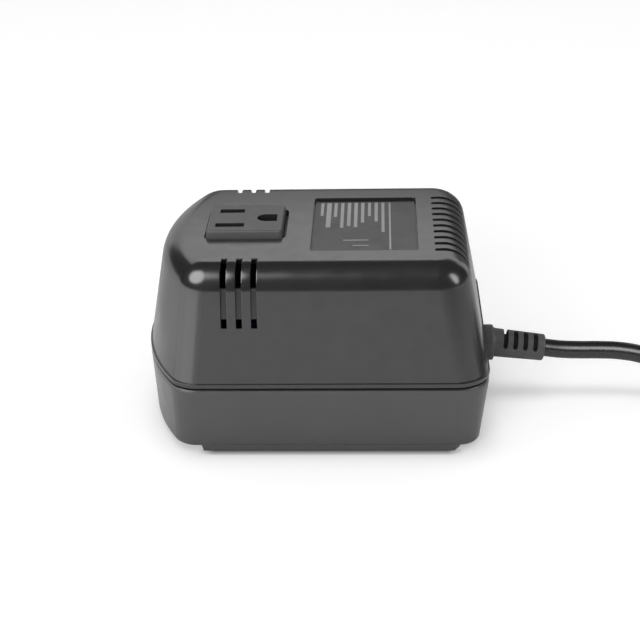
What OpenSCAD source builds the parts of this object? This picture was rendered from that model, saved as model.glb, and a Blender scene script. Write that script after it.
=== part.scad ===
// Travel voltage converter: a step-down transformer in a two-part moulded case, with a
// three-hole mains socket on top and a moulded mains lead at the cord end.
// Lengths are in millimetres and angles in degrees. X runs from the socket end to the
// cord end, Y to the back and Z up. The origin is under the middle of the case.

/* [Case] */
// Length of the case at its seam
case_l = 115; // [108:1:124]
// Width of the case at its seam
case_w = 92; // [88:1:100]
// Height of the flat top above the table
case_h = 63.5; // [62:0.5:68]
// Height of the seam between cover and tray
seam_z = 24.4; // [23.6:0.2:26]
// Thickness of the moulded walls
wall = 2.2; // [1.8:0.1:2.6]
// Thickness of the tray's floor
floor_t = 2.4; // [1.8:0.1:3]
// Slope of the cover's walls
cover_draft = 10.5; // [8.5:0.5:11.5]
// Slope of the tray's walls
tray_draft = 8; // [5:0.5:9]
// Slope of the tray's bowed end
tray_end_draft = 3; // [2:0.5:5]
// Radius of the cover's top edge
top_round = 9; // [7:0.5:9.5]
// Corner radius at the cord end
cord_corner = 11.6; // [10.8:0.2:14]
// Corner radius at the socket end
socket_corner = 10.6; // [10:0.2:13]
// Radius of the bowed socket end
bow_r = 80; // [72:1:95]

/* [Seam] */
// Shadow gap between cover and tray
seam_gap = 0.8; // [0.4:0.1:1.2]
// Height of the rim round the cover's lower edge
rim_h = 1.6; // [1:0.1:2.2]
// How far the rim stands out from the cover's wall
rim_step = 0.55; // [0.3:0.05:0.8]
// Rounding of the tray's upper edge
tray_edge = 1; // [0.5:0.1:1.4]
// Rounding of the tray's lower edge
tray_round = 1.6; // [0.8:0.1:2.4]
// Height of the tongue that locates the cover on the tray
tongue_h = 2.8; // [2:0.1:3.6]
// Thickness of that tongue
tongue_t = 1.2; // [0.8:0.1:1.5]

/* [Feet] */
// Height of the two foot rails
foot_h = 1.7; // [1.2:0.1:2.4]
// Width of each foot rail
foot_w = 6; // [4:0.5:8]
// Distance of the rails from the socket end
foot_from_socket_end = 20.3; // [18:0.1:24]
// Distance of the rails from the cord end
foot_from_cord_end = 9.7; // [8:0.1:16]

/* [Case screws] */
// Diameter of the case screws
screw_d = 3; // [2.5:0.1:3.2]
// Distance of the screws from the cord end
screw_from_cord_end = 12.5; // [11.5:0.5:14]
// Distance of the screws from the socket end
screw_from_socket_end = 16.5; // [15.5:0.5:18]
// Distance of the screws from the sides
screw_from_side = 15.5; // [14.5:0.5:16]

/* [Vents] */
// Width of a vent slot
vent_w = 1.8; // [1.4:0.1:2.2]
// Spacing of the side vents
vent_pitch = 4.85; // [4:0.05:6]
// Number of side vents on each long side
vent_n = 3; // [2:1:4]
// Distance of the middle side vent from the socket end
vent_from_end = 34.4; // [32:0.2:36]
// Height of the lower end of the vents
vent_z = 44.7; // [42:0.1:47]
// Depth of the grooves between the vents' openings, at their lower end
vent_groove = 0.9; // [0.6:0.1:1.1]
// How much more the side vents' grooves slope than the wall
vent_lean = 3; // [1:0.5:6]
// How far the side vents run onto the flat top
vent_over = 1.2; // [0.5:0.1:3]
// Number of slots in the end grille
grille_n = 10; // [8:1:10]
// Spacing of the grille's slots
grille_pitch = 5.18; // [4.8:0.02:5.3]
// Length of the grille from the cord end
grille_l = 17.6; // [16:0.2:19]
// Length of the grille's open part on the top
grille_open = 7; // [5:0.5:8]

/* [Rating plate] */
// Length of the plate's recess
plate_l = 35; // [30:0.5:37]
// Width of the plate's recess
plate_w = 47.2; // [40:0.2:52]
// Depth of the recess
plate_depth = 1.3; // [0.8:0.1:1.4]
// Thickness of the plate
plate_t = 0.4; // [0.2:0.1:0.5]
// Distance of the plate's middle from the cord end
plate_from_cord_end = 40.7; // [39.5:0.1:43]

/* [Socket] */
// Distance of the socket's middle from the socket end
socket_from_end = 34.7; // [33.5:0.1:36]
// Length of the raised socket face
socket_l = 25; // [24.6:0.2:26.4]
// Width of the raised socket face
socket_w = 23.7; // [23:0.1:26]
// Height of the socket face above the top
socket_rise = 2.3; // [1.2:0.1:3]
// Corner radius of the socket face
socket_r = 1.6; // [0.8:0.1:2.4]
// Gap round the socket face
socket_gap = 1; // [0.8:0.1:1.2]
// Distance between the two blade slots
blade_pitch = 12.7; // [12.5:0.1:12.9]
// Distance from the blade line to the middle of the earth hole
earth_reach = 11.9; // [11.7:0.1:12.1]
// Length of the live slot
live_slot = 8.2; // [7.6:0.1:8.6]
// Length of the neutral slot
neutral_slot = 9.5; // [9:0.1:9.8]
// Width of the blade slots
slot_w = 3; // [2.4:0.1:3.2]
// Width of the earth hole
earth_w = 6; // [5.4:0.1:6.2]
// Depth of the socket body below the top
socket_depth = 16.8; // [15:0.2:17.4]

/* [Transformer] */
// Gap between the socket and the frame round the core
core_gap = 3; // [2:0.1:4]
// Distance of that frame from the cord end
frame_from_cord_end = 15.9; // [15.5:0.1:17]
// Thickness of the core's stack of sheets
stack = 26; // [22:0.5:28]
// Height of the core's seat above the tray's floor
core_lift = 4; // [3:0.2:5]
// Thickness of the steel frame round the core
frame_t = 0.8; // [0.6:0.1:1.2]
// Length of the frame's feet
frame_foot = 9.5; // [8.5:0.5:10]

/* [Lead] */
// Diameter of the mains lead
cord_d = 6.2; // [5.8:0.1:6.3]
// Height of the lead where it leaves the case
cord_z = 18.6; // [17.6:0.1:19]
// Droop of the strain relief's tail
relief_tilt = 7; // [4:0.5:8]
// Diameter of the strain relief's outer flange
flange_d = 12.4; // [11:0.2:13]
// Thickness of the strain relief's outer flange
flange_t = 3.4; // [2.4:0.1:3.6]
// Diameter of the strain relief at its neck
neck_d = 10; // [9:0.1:10.4]
// Diameter of the strain relief at its tip
tip_d = 9.2; // [8.4:0.1:9.4]
// Number of ribs on the strain relief
rib_n = 4; // [3:1:5]
// Width of a gap between two ribs
rib_gap = 1.35; // [0.9:0.05:1.6]
// Diameter of the insulated wires inside
wire_d = 2; // [1.6:0.1:2.2]

/* [Hidden] */
$fn = 48;

// Steps of each corner, of the bowed end and of the cover's rounded edge
corner_steps = 6;
bow_steps = 10;
round_steps = 8;
inner_round_steps = 5;

// Clearances: loose fits, close fits and pieces that only lie side by side
clear = 0.25;
close_clear = 0.1;

// Ends of the case and places along it
socket_end = -case_l / 2;
cord_end = case_l / 2;
socket_x = socket_end + socket_from_end;
vent_x = socket_end + vent_from_end;
plate_x = cord_end - plate_from_cord_end;
grille_x = cord_end - grille_l;
vent_open = 3.3;

// Levels of cover and tray
tray_top = seam_z - seam_gap / 2;
rim_z = seam_z + seam_gap / 2;
rim_top = rim_z + rim_h;
wall_z = rim_top + 0.3;
tongue_z = tray_top + tongue_h;
floor_z = foot_h + floor_t;
ceiling_z = case_h - wall;
edge_z = case_h - top_round;
bend_z = edge_z + top_round * sin(cover_draft);

// Inset of the cover's wall from the seam outline at a height, and of the flat top
function cover_inset(z) = rim_step + (z - wall_z) * tan(cover_draft);
bend_inset = cover_inset(bend_z);
flat_inset = bend_inset + top_round * cos(cover_draft);
function tray_inset(z) = (tray_top - z) * tan(tray_draft);

// Points of an arc
function arc(cx, cy, r, a0, a1, steps) =
    [for (i = [0:steps]) let (a = a0 + (a1 - a0) * i / steps) [cx + r * cos(a), cy + r * sin(a)]];

// Plan of the case at one height, drawn in by an inset, with corners tightened by a radius.
// At a depth below the seam, the bowed end slopes less and the corners are tighter still.
function plan(inset, tight, depth = 0) =
    let (
        half_l = case_l / 2 - inset,
        half_w = case_w / 2 - inset,
        rc = cord_corner - tight - 0.2 * depth,
        rs = socket_corner - tight - 0.08 * depth,
        rb = bow_r - inset + depth * (tan(tray_draft) - tan(tray_end_draft)),
        bow_x = socket_end + bow_r,
        spread = asin((half_w - rs) / (rb - rs)),
        sx = bow_x - (rb - rs) * cos(spread),
        bow = arc(bow_x, 0, rb, 180 - spread, 180 + spread, bow_steps)
    )
    concat(
        arc(half_l - rc, rc - half_w, rc, -90, 0, corner_steps),
        arc(half_l - rc, half_w - rc, rc, 0, 90, corner_steps),
        arc(sx, half_w - rs, rs, 90, 180 - spread, corner_steps),
        [for (i = [1:bow_steps - 1]) bow[i]],
        arc(sx, rs - half_w, rs, 180 + spread, 270, corner_steps)
    );

function ring(z, inset, tight) =
    [for (p = plan(inset, tight, max(0, tray_top - z))) [p[0], p[1], z]];

// Rings of the cover's rounded edge for a radius about the same centre line
function edge_rings(r, steps) =
    [for (i = [0:steps])
        let (
            a = cover_draft + (90 - cover_draft) * i / steps,
            inset = flat_inset - r * cos(a)
        )
        ring(edge_z + r * sin(a), inset, inset - bend_inset)];

function reversed(list) = [for (i = [len(list) - 1:-1:0]) list[i]];

// A closed solid through rings of equally many points, first ring to last
module loft(rings) {
    n = len(rings[0]);
    last = (len(rings) - 1) * n;
    sides = [for (j = [0:len(rings) - 2], i = [0:n - 1])
        let (a = j * n + i, b = j * n + (i + 1) % n)
        each [[a, a + n, b + n], [a, b + n, b]]];
    bottom = [for (i = [1:n - 2]) [0, i, i + 1]];
    top = [for (i = [1:n - 2]) [last, last + i + 1, last + i]];
    polyhedron([for (r = rings) each r], concat(bottom, sides, top));
}

function unit(v) = v / norm(v);

// Ring of a tube at one point of its route, square to the way it runs there
function tube_ring(p, along, r, sides, up) =
    let (u = unit(cross(along, up)), v = cross(u, unit(along)))
    [for (i = [0:sides - 1]) let (a = 360 * i / sides) p + r * (cos(a) * u + sin(a) * v)];

// A tube along a route, whose first and last stretches are straight
module tube(route, d, sides, up) {
    last = len(route) - 1;
    loft([for (i = [0:last])
        let (along = route[min(i + 1, last)] - route[max(i - 1, 0)])
        tube_ring(route[i], along, d / 2, sides, up)]);
}

// A smooth route through points: straight at both ends, and cubic curves cut in steps between
function smooth(points, steps) =
    let (last = len(points) - 1)
    concat(
        [points[0]],
        [for (i = [1:last - 2], k = [0:steps - 1])
            let (
                t = k / steps,
                a = points[i - 1],
                b = points[i],
                c = points[i + 1],
                d = points[i + 2]
            )
            b + t * (c - a) / 2 + t * t * (2 * a - 5 * b + 4 * c - d) / 2
                + t * t * t * (3 * b - a - 3 * c + d) / 2],
        [points[last - 1], points[last]]
    );

module round_rect(x, y, r) {
    square([x - 2 * r, y], center = true);
    square([x, y - 2 * r], center = true);
    for (i = [-1, 1], j = [-1, 1])
        translate([i * (x / 2 - r), j * (y / 2 - r)])
            circle(r);
}

module at_mirrored_y() {
    children();
    mirror([0, 1, 0])
        children();
}

// Case screws: wells and posts in the tray, columns in the cover
screw_head_d = 2 * screw_d;
screw_head_h = 0.75 * screw_d;
post_d = screw_head_d + 3.2;
column_d = screw_d + 4.4;
well_d = screw_head_d + 0.8;
post_top = tray_top - 3;
post_seat = 3;
column_z = post_top + clear;
screw_grip = 9;
screw_l = post_seat + screw_grip;
screw_y = case_w / 2 - screw_from_side;
screw_places = [for (x = [cord_end - screw_from_cord_end, socket_end + screw_from_socket_end],
    y = [-screw_y, screw_y]) [x, y]];

// Socket: the blade line, the opening in the cover, the sloped face and the body below it
socket_top = case_h + socket_rise;
blade_x = socket_x - 5.4;
earth_x = blade_x + earth_reach;
earth_flat = earth_w / 2 + 0.6;
opening_l = socket_l + 2 * socket_gap;
opening_w = socket_w + 2 * socket_gap + 1;
socket_flange = 1.5;
socket_flange_t = 2;
body_l = socket_l - 1.4;
body_w = socket_w - 2;
face_x = socket_x - 0.3;
rise_spread = 2 * socket_rise * tan(cover_draft);
body_z = case_h - socket_depth;
face_z = ceiling_z - 0.8;
bridge_t = 2.2;
bridge_screw_y = opening_w / 2 + socket_flange + 4.7;
bridge_boss_d = 7;
bridge_screw_d = 2.6;
bridge_screw_grip = 8;
contact_t = 0.5;
contact_w = 7.4;
contact_top = face_z - 1.2;
cavity_w = 4.6;
earth_tube_d = earth_w + 0.6;
earth_cavity_d = earth_tube_d + 1;
tail_w = 3;
tail_t = 0.6;
tail_z = body_z - bridge_t - 4;

// Transformer: core, bobbin, windings and steel frame
core_from = socket_x + body_l / 2 + core_gap + frame_t;
core_to = cord_end - frame_from_cord_end - frame_t;
core_l = core_to - core_from;
core_x = (core_from + core_to) / 2;
leg = core_l / 3;
window_h = 1.5 * leg;
yoke = leg / 2;
core_z = floor_z + core_lift;
window_z = core_z + yoke;
window_w = (core_l - 2 * yoke - leg) / 2;
core_top = window_z + window_h + yoke;
bobbin_wall = 1;
bobbin_flange = 1.2;
bobbin_in_l = leg + 2 * clear;
bobbin_in_w = stack + 2 * clear;
bobbin_l = bobbin_in_l + 2 * bobbin_wall;
bobbin_w = bobbin_in_w + 2 * bobbin_wall;
bobbin_z = window_z + clear;
bobbin_top = window_z + window_h - clear;
winding_room = window_w - clear - bobbin_wall - clear;
wrap_t = 0.4;
primary_t = 0.54 * (winding_room - wrap_t - 3 * close_clear);
secondary_t = 0.46 * (winding_room - wrap_t - 3 * close_clear);
primary_in = close_clear;
secondary_in = primary_in + primary_t + close_clear;
wrap_in = secondary_in + secondary_t + close_clear;
flange_out = wrap_in + wrap_t;
wrap_y = bobbin_w / 2 + wrap_in + wrap_t;
flange_edge_x = bobbin_l / 2 + flange_out;
flange_edge_y = bobbin_w / 2 + flange_out + 0.5;
frame_w = stack - 2;
frame_screw_d = 3;
frame_screw_x = core_l / 2 + frame_t + frame_foot / 2 + 0.3;
frame_post_d = frame_screw_d + 5;
tag_w = 2.4;
tag_t = 0.6;
tag_h = 7;
tag_x = leg / 2;
tag_y = stack / 2 + 4.2;
fuse_d = 4;
fuse_l = 11;
fuse_leg_d = 1;
fuse_leg_l = 5;
fuse_y = wrap_y + fuse_d / 2 + close_clear;
fuse_z = window_z + window_h / 2;

// Strain relief: flanges on both sides of the wall, neck and ribbed tail
notch_d = neck_d - 1.4;
notch_core_d = notch_d - 2 * close_clear;
wall_in_x = cord_end - tray_inset(cord_z) - wall;
inner_flange = 11.6;
inner_flange_t = 2.7;
inner_flange_x = wall_in_x - 0.3;
outer_flange_x = cord_end + close_clear;
neck_x = outer_flange_x + flange_t;
neck_l = 3.2;
rib_w = 2.1;
relief_l = neck_l + rib_n * (rib_w + rib_gap) + 0.7;
relief_core_d = cord_d + 1.2;
relief_along = [cos(relief_tilt), 0, -sin(relief_tilt)];
relief_tip = [neck_x, 0, cord_z] + relief_l * relief_along;
rib_web_angle = 80;
rib_web_turn = -90;

// Loose end of the lead: coil, tie and plug, out of the way beyond the cord end
coil_x = 175;
coil_y = 12.2;
coil_turns = 4;
coil_in_r = 24.6;
coil_step = cord_d + 0.6;
coil_rise = cord_d + 0.5;
coil_rings = 24;
coil_out_r = coil_in_r + coil_step * coil_turns / 2;
tie_t = 0.7;
tie_w = 5;
tie_gap = 0.5;
coil_z = tie_t + tie_gap + cord_d / 2;
tail_run = cord_d;

// Route of the lead from the strain relief to the coil
lead_route = [
    relief_tip,
    relief_tip + tail_run * relief_along,
    [91, 0, 15.45],
    [98, 0, 15.4],
    [105, -0.4, 15.2],
    [112, -1.6, 14.4],
    [119, -4.2, 12.9],
    [126, -8, 10.8],
    [132, -12.2, 8.6],
    [138, -16.8, 6.6],
    [144, -21, 5.2],
    [150, -24.2, 4.5],
    [156, -25.7, 4.3],
    [coil_x - 2 * tail_run, coil_y - coil_out_r, coil_z],
    [coil_x - tail_run, coil_y - coil_out_r, coil_z]
];

// Route of the lead from the coil to the plug
plug_z = 6.9;
plug_x = 216;
plug_y = -27;
tail_route = [
    [coil_x + tail_run, coil_y - coil_out_r, coil_z + coil_rise],
    [coil_x + 2 * tail_run, coil_y - coil_out_r, coil_z + coil_rise],
    [193, -26.2, 10.4],
    [198.6, -26.5, 9],
    [204.2, -26.8, 7.5],
    [plug_x - tail_run, plug_y, plug_z],
    [plug_x, plug_y, plug_z]
];

// Turns of the coil: the radius falls and grows again, and the lead climbs where it turns back
function coil_radius(t) =
    let (x = abs(t - coil_turns / 2), w = 0.25)
    coil_in_r + coil_step * (x > w ? x : (x * x / w + w) / 2);
function coil_height(t) =
    let (x = max(-0.25, min(0.25, t - coil_turns / 2)))
    coil_z + coil_rise * (0.5 + 0.5 * sin(360 * x));
function coil_point(t) =
    [coil_x + coil_radius(t) * sin(360 * t), coil_y - coil_radius(t) * cos(360 * t), coil_height(t)];
coil_points = [for (i = [0:coil_turns * coil_rings]) coil_point(i / coil_rings)];
coil_route = concat(
    [[coil_x - tail_run, coil_y - coil_out_r, coil_z]],
    coil_points,
    [[coil_x + tail_run, coil_y - coil_out_r, coil_z + coil_rise]]
);

// Least gap between the coil's turns, over points at least half a turn apart
coil_gap = min([for (i = [0:len(coil_points) - 1])
    min([1000, for (j = [i + coil_rings / 2:1:len(coil_points) - 1])
        norm(coil_points[i] - coil_points[j])])]) - cord_d;

// Plug with two round pins
plug_relief_l = 16;
plug_l = 36;
plug_w = 35.3;
plug_t = 13.7;
plug_back_w = 14;
plug_front_x = plug_x + plug_relief_l + plug_l;
pin_pitch = 18.6;
pin_d = 4;
pin_l = 19;
pin_core_d = 3;
pin_root = 8;
sleeve_l = 10;
sleeve_d = 3.8;

// Case tray

module tray_shell() {
    half = tray_round / 2;
    low = tray_inset(foot_h + tray_round);
    lip = tray_inset(tray_top - 1.7 * tray_edge);
    loft([
        ring(foot_h, low + tray_round, tray_round),
        ring(foot_h + 0.3 * tray_round, low + 0.5 * tray_round, half),
        ring(foot_h + tray_round, low, 0),
        ring(tray_top - 1.7 * tray_edge, lip, 0),
        ring(tray_top - 0.9 * tray_edge, lip - 0.04 * tray_edge, 0),
        ring(tray_top - 0.35 * tray_edge, lip, 0),
        ring(tray_top, lip + 0.5 * tray_edge, 0.5 * tray_edge),
        ring(tray_top, wall + clear, wall),
        ring(tongue_z, wall + clear, wall),
        ring(tongue_z, wall + clear + tongue_t, wall),
        ring(tray_top - tongue_h, wall + clear + tongue_t, wall),
        ring(tray_top - tongue_h - tongue_t, tray_inset(tray_top - tongue_h - tongue_t) + wall, wall),
        ring(floor_z + 1, tray_inset(floor_z + 1) + wall, wall),
        ring(floor_z, tray_inset(floor_z) + wall + 1, wall + 1)
    ]);
}

module foot_rail() {
    from = socket_end + foot_from_socket_end;
    to = cord_end - foot_from_cord_end;
    lean = 0.3 * foot_h;
    front = tray_inset(foot_h) + 0.3 - case_w / 2;
    translate([0, front + foot_w, 0])
        rotate([90, 0, 0])
            linear_extrude(foot_w)
                polygon([[from + lean, 0], [to - foot_h, 0], [to, foot_h], [to, foot_h + 0.5 * floor_t],
                    [from, foot_h + 0.5 * floor_t], [from, foot_h]]);
}

module base_tray() {
    color("#4a4a4b")
    difference() {
        union() {
            tray_shell();
            at_mirrored_y()
                foot_rail();
            intersection() {
                for (p = screw_places)
                    translate([p[0], p[1], foot_h])
                        cylinder(d = post_d, h = post_top - foot_h);
                loft([ring(foot_h, tray_inset(foot_h) + 0.6 * wall + tray_round, tray_round),
                    ring(foot_h + tray_round, tray_inset(foot_h) + 0.6 * wall, 0.6 * wall),
                    ring(tray_top, 0.6 * wall, 0.6 * wall)]);
            }
            for (i = [-1, 1])
                translate([core_x + i * frame_screw_x, 0, floor_z - floor_t / 2])
                    cylinder(d = frame_post_d, h = core_lift + floor_t / 2);
            for (i = [-1, 1])
                translate([core_x - core_l / 2 + 1, i * stack / 3 - 1, floor_z - floor_t / 2])
                    cube([core_l - 2, 2, core_lift + floor_t / 2]);
        }
        for (p = screw_places)
            translate([p[0], p[1], 0]) {
                translate([0, 0, -1])
                    cylinder(d = well_d, h = post_top - post_seat + 1);
                cylinder(d = screw_d + 2 * clear, h = case_h);
            }
        for (i = [-1, 1])
            translate([core_x + i * frame_screw_x, 0, foot_h + 0.8])
                cylinder(d = frame_screw_d + 2 * close_clear, h = case_h);
        translate([wall_in_x - tongue_t - 1, 0, cord_z])
            rotate([0, 90, 0])
                cylinder(d = notch_d, h = 10);
        translate([wall_in_x - tongue_t - 1, -notch_d / 2, cord_z])
            cube([10, notch_d, tongue_z]);
        translate([wall_in_x - tongue_t - 3, -inner_flange / 2 - clear, cord_z - inner_flange / 2 - clear])
            cube([tongue_t + 3, inner_flange + 2 * clear, tongue_z]);
    }
}

// Case cover

module cover_shell() {
    loft(concat(
        reversed(edge_rings(top_round - wall, inner_round_steps)),
        [
            ring(tongue_z + 1, cover_inset(tongue_z + 1) + wall, wall),
            ring(tongue_z + 0.4, wall, wall),
            ring(rim_z, wall, wall),
            ring(rim_z, 0, 0),
            ring(rim_top, 0, 0),
            ring(wall_z, rim_step, 0)
        ],
        edge_rings(top_round, round_steps)
    ));
}

// The space that columns and bosses inside the cover may fill: to the middle of its wall
module cover_room() {
    loft(concat(
        [
            ring(column_z, wall + clear + tongue_t + clear, wall),
            ring(tongue_z + clear, wall + clear + tongue_t + clear, wall),
            ring(tongue_z + 2, cover_inset(tongue_z + 2) + wall / 2, wall / 2)
        ],
        edge_rings(top_round - wall / 2, inner_round_steps)
    ));
}

// One side vent on the front: open at its lower end and over the edge, a groove between.
// The opening over the edge runs out on the flat top in a ramp.
module side_vent() {
    over_z = edge_z + 0.4 * top_round;
    end_y = vent_over - (case_w / 2 - flat_inset);
    ramp_y = end_y - 1.6 * wall;
    translate([-vent_w / 2, -case_w, vent_z])
        cube([vent_w, case_w / 2 + cover_inset(vent_z + vent_open) + 1.6 * wall, vent_open]);
    translate([-vent_w / 2, 0, 0])
        rotate([90, 0, 90])
            linear_extrude(vent_w)
                polygon([[-case_w, over_z], [ramp_y, over_z], [ramp_y, ceiling_z], [end_y, case_h],
                    [end_y, case_h + 1], [-case_w, case_h + 1]]);
    translate([0, cover_inset(vent_z) + vent_groove - case_w / 2, vent_z])
        rotate([-cover_draft - vent_lean, 0, 0])
            translate([-vent_w / 2, -10, 0])
                cube([vent_w, 10, over_z - vent_z + 1]);
}

// The end grille: slots open on the top and at their lower end, grooves over the edge between
module grille() {
    rows = [for (i = [0:grille_n - 1]) (i - (grille_n - 1) / 2) * grille_pitch - vent_w / 2];
    for (y = rows) {
        translate([grille_x, y, vent_z])
            cube([grille_open, vent_w, case_h]);
        translate([grille_x, y, vent_z])
            cube([grille_l + 1, vent_w, vent_open]);
    }
    difference() {
        for (y = rows)
            translate([grille_x, y, vent_z])
                cube([grille_l + 1, vent_w, case_h]);
        loft(concat(
            [ring(wall_z, cover_inset(wall_z) + vent_groove, vent_groove)],
            edge_rings(top_round - vent_groove, round_steps)
        ));
    }
}

// A key on the cover's rim that closes the tray's notch above the strain relief
module notch_key() {
    key_z = cord_z + 0.4 * notch_d;
    difference() {
        translate([cord_end - wall, clear - notch_d / 2, key_z])
            cube([wall - 0.8, notch_d - 2 * clear, rim_z + 0.5 - key_z]);
        translate([wall_in_x - 1, 0, cord_z])
            rotate([0, 90, 0])
                cylinder(d = notch_d, h = 10);
    }
}

module top_cover() {
    color("#47474a")
    difference() {
        union() {
            cover_shell();
            notch_key();
            intersection() {
                union() {
                    for (p = screw_places)
                        translate([p[0], p[1], column_z])
                            cylinder(d = column_d, h = case_h - column_z);
                    for (i = [-1, 1])
                        translate([socket_x, i * bridge_screw_y, body_z])
                            cylinder(d = bridge_boss_d, h = case_h - body_z);
                }
                cover_room();
            }
        }
        for (p = screw_places)
            translate([p[0], p[1], column_z - 1])
                cylinder(d = screw_d + 2 * close_clear, h = screw_l + 2);
        for (i = [-1, 1])
            translate([socket_x, i * bridge_screw_y, body_z - 1])
                cylinder(d = bridge_screw_d + 2 * close_clear, h = bridge_screw_grip + 2);
        translate([socket_x, 0, ceiling_z - 1])
            linear_extrude(wall + 2)
                round_rect(opening_l, opening_w, socket_r + socket_gap);
        translate([plate_x, 0, case_h - plate_depth])
            linear_extrude(wall)
                round_rect(plate_l, plate_w, 1);
        at_mirrored_y()
            for (i = [0:vent_n - 1])
                translate([vent_x + (i - (vent_n - 1) / 2) * vent_pitch, 0, 0])
                    side_vent();
        grille();
    }
}

// A pan-head screw with its head below z = 0 and its shank above
module screw(d, l) {
    rotate_extrude()
        polygon([[0, -0.75 * d], [0.75 * d, -0.75 * d], [d, -0.4 * d], [d, 0], [d / 2, 0],
            [d / 2, l - d / 3], [d / 6, l], [0, l]]);
}

module case_screws() {
    color("#b9bcc0")
    for (p = screw_places)
        translate([p[0], p[1], post_top - post_seat])
            difference() {
                screw(screw_d, screw_l);
                translate([0, 0, -screw_head_h - 1])
                    for (a = [0, 90])
                        rotate(a)
                            translate([-screw_d / 2, -0.4, 0])
                                cube([screw_d, 0.8, 1 + 0.4 * screw_d]);
            }
}

module rating_plate() {
    color("#3f3f42")
    translate([plate_x, 0, case_h - plate_depth])
        linear_extrude(plate_t)
            round_rect(plate_l - 2 * clear, plate_w - 2 * clear, 1 - clear);
}

// Socket

// Round towards the blades, flat on the far side
module earth_outline(w) {
    circle(d = w);
    translate([0, -w / 2])
        square([earth_flat, w]);
}

module socket_insert() {
    color("#505053")
    difference() {
        union() {
            translate([face_x, 0, ceiling_z - socket_flange_t])
                linear_extrude(case_h - ceiling_z + socket_flange_t)
                    round_rect(socket_l + rise_spread, socket_w + rise_spread, socket_r);
            translate([face_x, 0, case_h])
                linear_extrude(socket_rise, scale = [socket_l / (socket_l + rise_spread),
                    socket_w / (socket_w + rise_spread)])
                    round_rect(socket_l + rise_spread, socket_w + rise_spread, socket_r);
            translate([socket_x, 0, ceiling_z - socket_flange_t])
                linear_extrude(socket_flange_t)
                    round_rect(opening_l + 2 * socket_flange, opening_w + 2 * socket_flange, socket_r);
            translate([socket_x, 0, body_z])
                linear_extrude(ceiling_z - body_z)
                    round_rect(body_l, body_w, socket_r);
        }
        for (s = [[live_slot, 1], [neutral_slot, -1]])
            translate([blade_x, s[1] * blade_pitch / 2, 0]) {
                translate([-s[0] / 2, -slot_w / 2, body_z])
                    cube([s[0], slot_w, case_h]);
                translate([-contact_w / 2 - 1, -cavity_w / 2, body_z - 1])
                    cube([contact_w + 2, cavity_w, face_z - body_z + 1]);
            }
        translate([earth_x, 0, body_z - 1]) {
            cylinder(d = earth_cavity_d, h = face_z - body_z + 1);
            linear_extrude(case_h)
                earth_outline(earth_w);
        }
    }
}

module socket_bridge() {
    color("#2f2f31")
    translate([0, 0, body_z - bridge_t])
        difference() {
            linear_extrude(bridge_t)
                union() {
                    translate([socket_x, 0])
                        round_rect(body_l, body_w, socket_r);
                    translate([socket_x, 0])
                        square([bridge_boss_d, 2 * bridge_screw_y], center = true);
                    for (i = [-1, 1])
                        translate([socket_x, i * bridge_screw_y])
                            circle(d = bridge_boss_d);
                }
            for (i = [-1, 1])
                translate([socket_x, i * bridge_screw_y, -1])
                    cylinder(d = bridge_screw_d + 2 * clear, h = bridge_t + 2);
            for (i = [-1, 1])
                translate([blade_x - tail_w / 2 - clear, i * blade_pitch / 2 - tail_t / 2 - clear, -1])
                    cube([tail_w + 2 * clear, tail_t + 2 * clear, bridge_t + 2]);
        }
}

module bridge_screws() {
    color("#b9bcc0")
    for (i = [-1, 1])
        translate([socket_x, i * bridge_screw_y, body_z - bridge_t])
            screw(bridge_screw_d, bridge_t + bridge_screw_grip);
}

// A folded spring clip that grips a blade, with a tail through the bridge
module blade_contact() {
    mouth = 1.6;
    grip = 0.8;
    base = cavity_w / 2 - close_clear;
    h = contact_top - body_z;
    leaf = [[base, 0], [base, 0.3 * h], [grip + contact_t, 0.8 * h], [mouth, h],
        [mouth - contact_t, h], [grip, 0.8 * h], [base - contact_t, 0.3 * h],
        [base - contact_t, contact_t]];
    rotate([90, 0, 90])
        linear_extrude(contact_w, center = true)
            polygon(concat(leaf, [for (p = reversed(leaf)) [-p[0], p[1]]]));
    translate([-tail_w / 2, -tail_t / 2, tail_z - body_z])
        cube([tail_w, tail_t, body_z - tail_z + contact_t / 2]);
}

module live_contact() {
    color("#c9a24a")
    translate([blade_x, blade_pitch / 2, body_z])
        blade_contact();
}

module neutral_contact() {
    color("#c9a24a")
    translate([blade_x, -blade_pitch / 2, body_z])
        blade_contact();
}

module earth_contact() {
    color("#c9a24a")
    translate([earth_x, 0, body_z])
        difference() {
            cylinder(d = earth_tube_d, h = contact_top - body_z);
            translate([0, 0, contact_t])
                cylinder(d = earth_tube_d - 2 * contact_t, h = case_h);
            translate([0, -0.5, 2])
                cube([earth_tube_d, 1, case_h]);
        }
}

// Transformer

module core_e_stack() {
    color("#5b5d61")
    translate([core_x, 0, core_z])
        rotate([90, 0, 0])
            linear_extrude(stack, center = true)
                difference() {
                    translate([-core_l / 2, 0])
                        square([core_l, yoke + window_h]);
                    for (i = [-1, 1])
                        translate([i * (leg + window_w) / 2 - window_w / 2, yoke])
                            square([window_w, window_h + 1]);
                }
}

module core_i_stack() {
    color("#5b5d61")
    translate([core_x - core_l / 2, -stack / 2, window_z + window_h])
        cube([core_l, stack, yoke]);
}

// A sleeve round the middle leg, between two distances from the bobbin's tube
module leg_sleeve(inside, thick, h) {
    outside = inside + thick;
    linear_extrude(h)
        difference() {
            round_rect(bobbin_l + 2 * outside, bobbin_w + 2 * outside, outside + 0.5);
            round_rect(bobbin_l + 2 * inside, bobbin_w + 2 * inside, inside + 0.5);
        }
}

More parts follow.
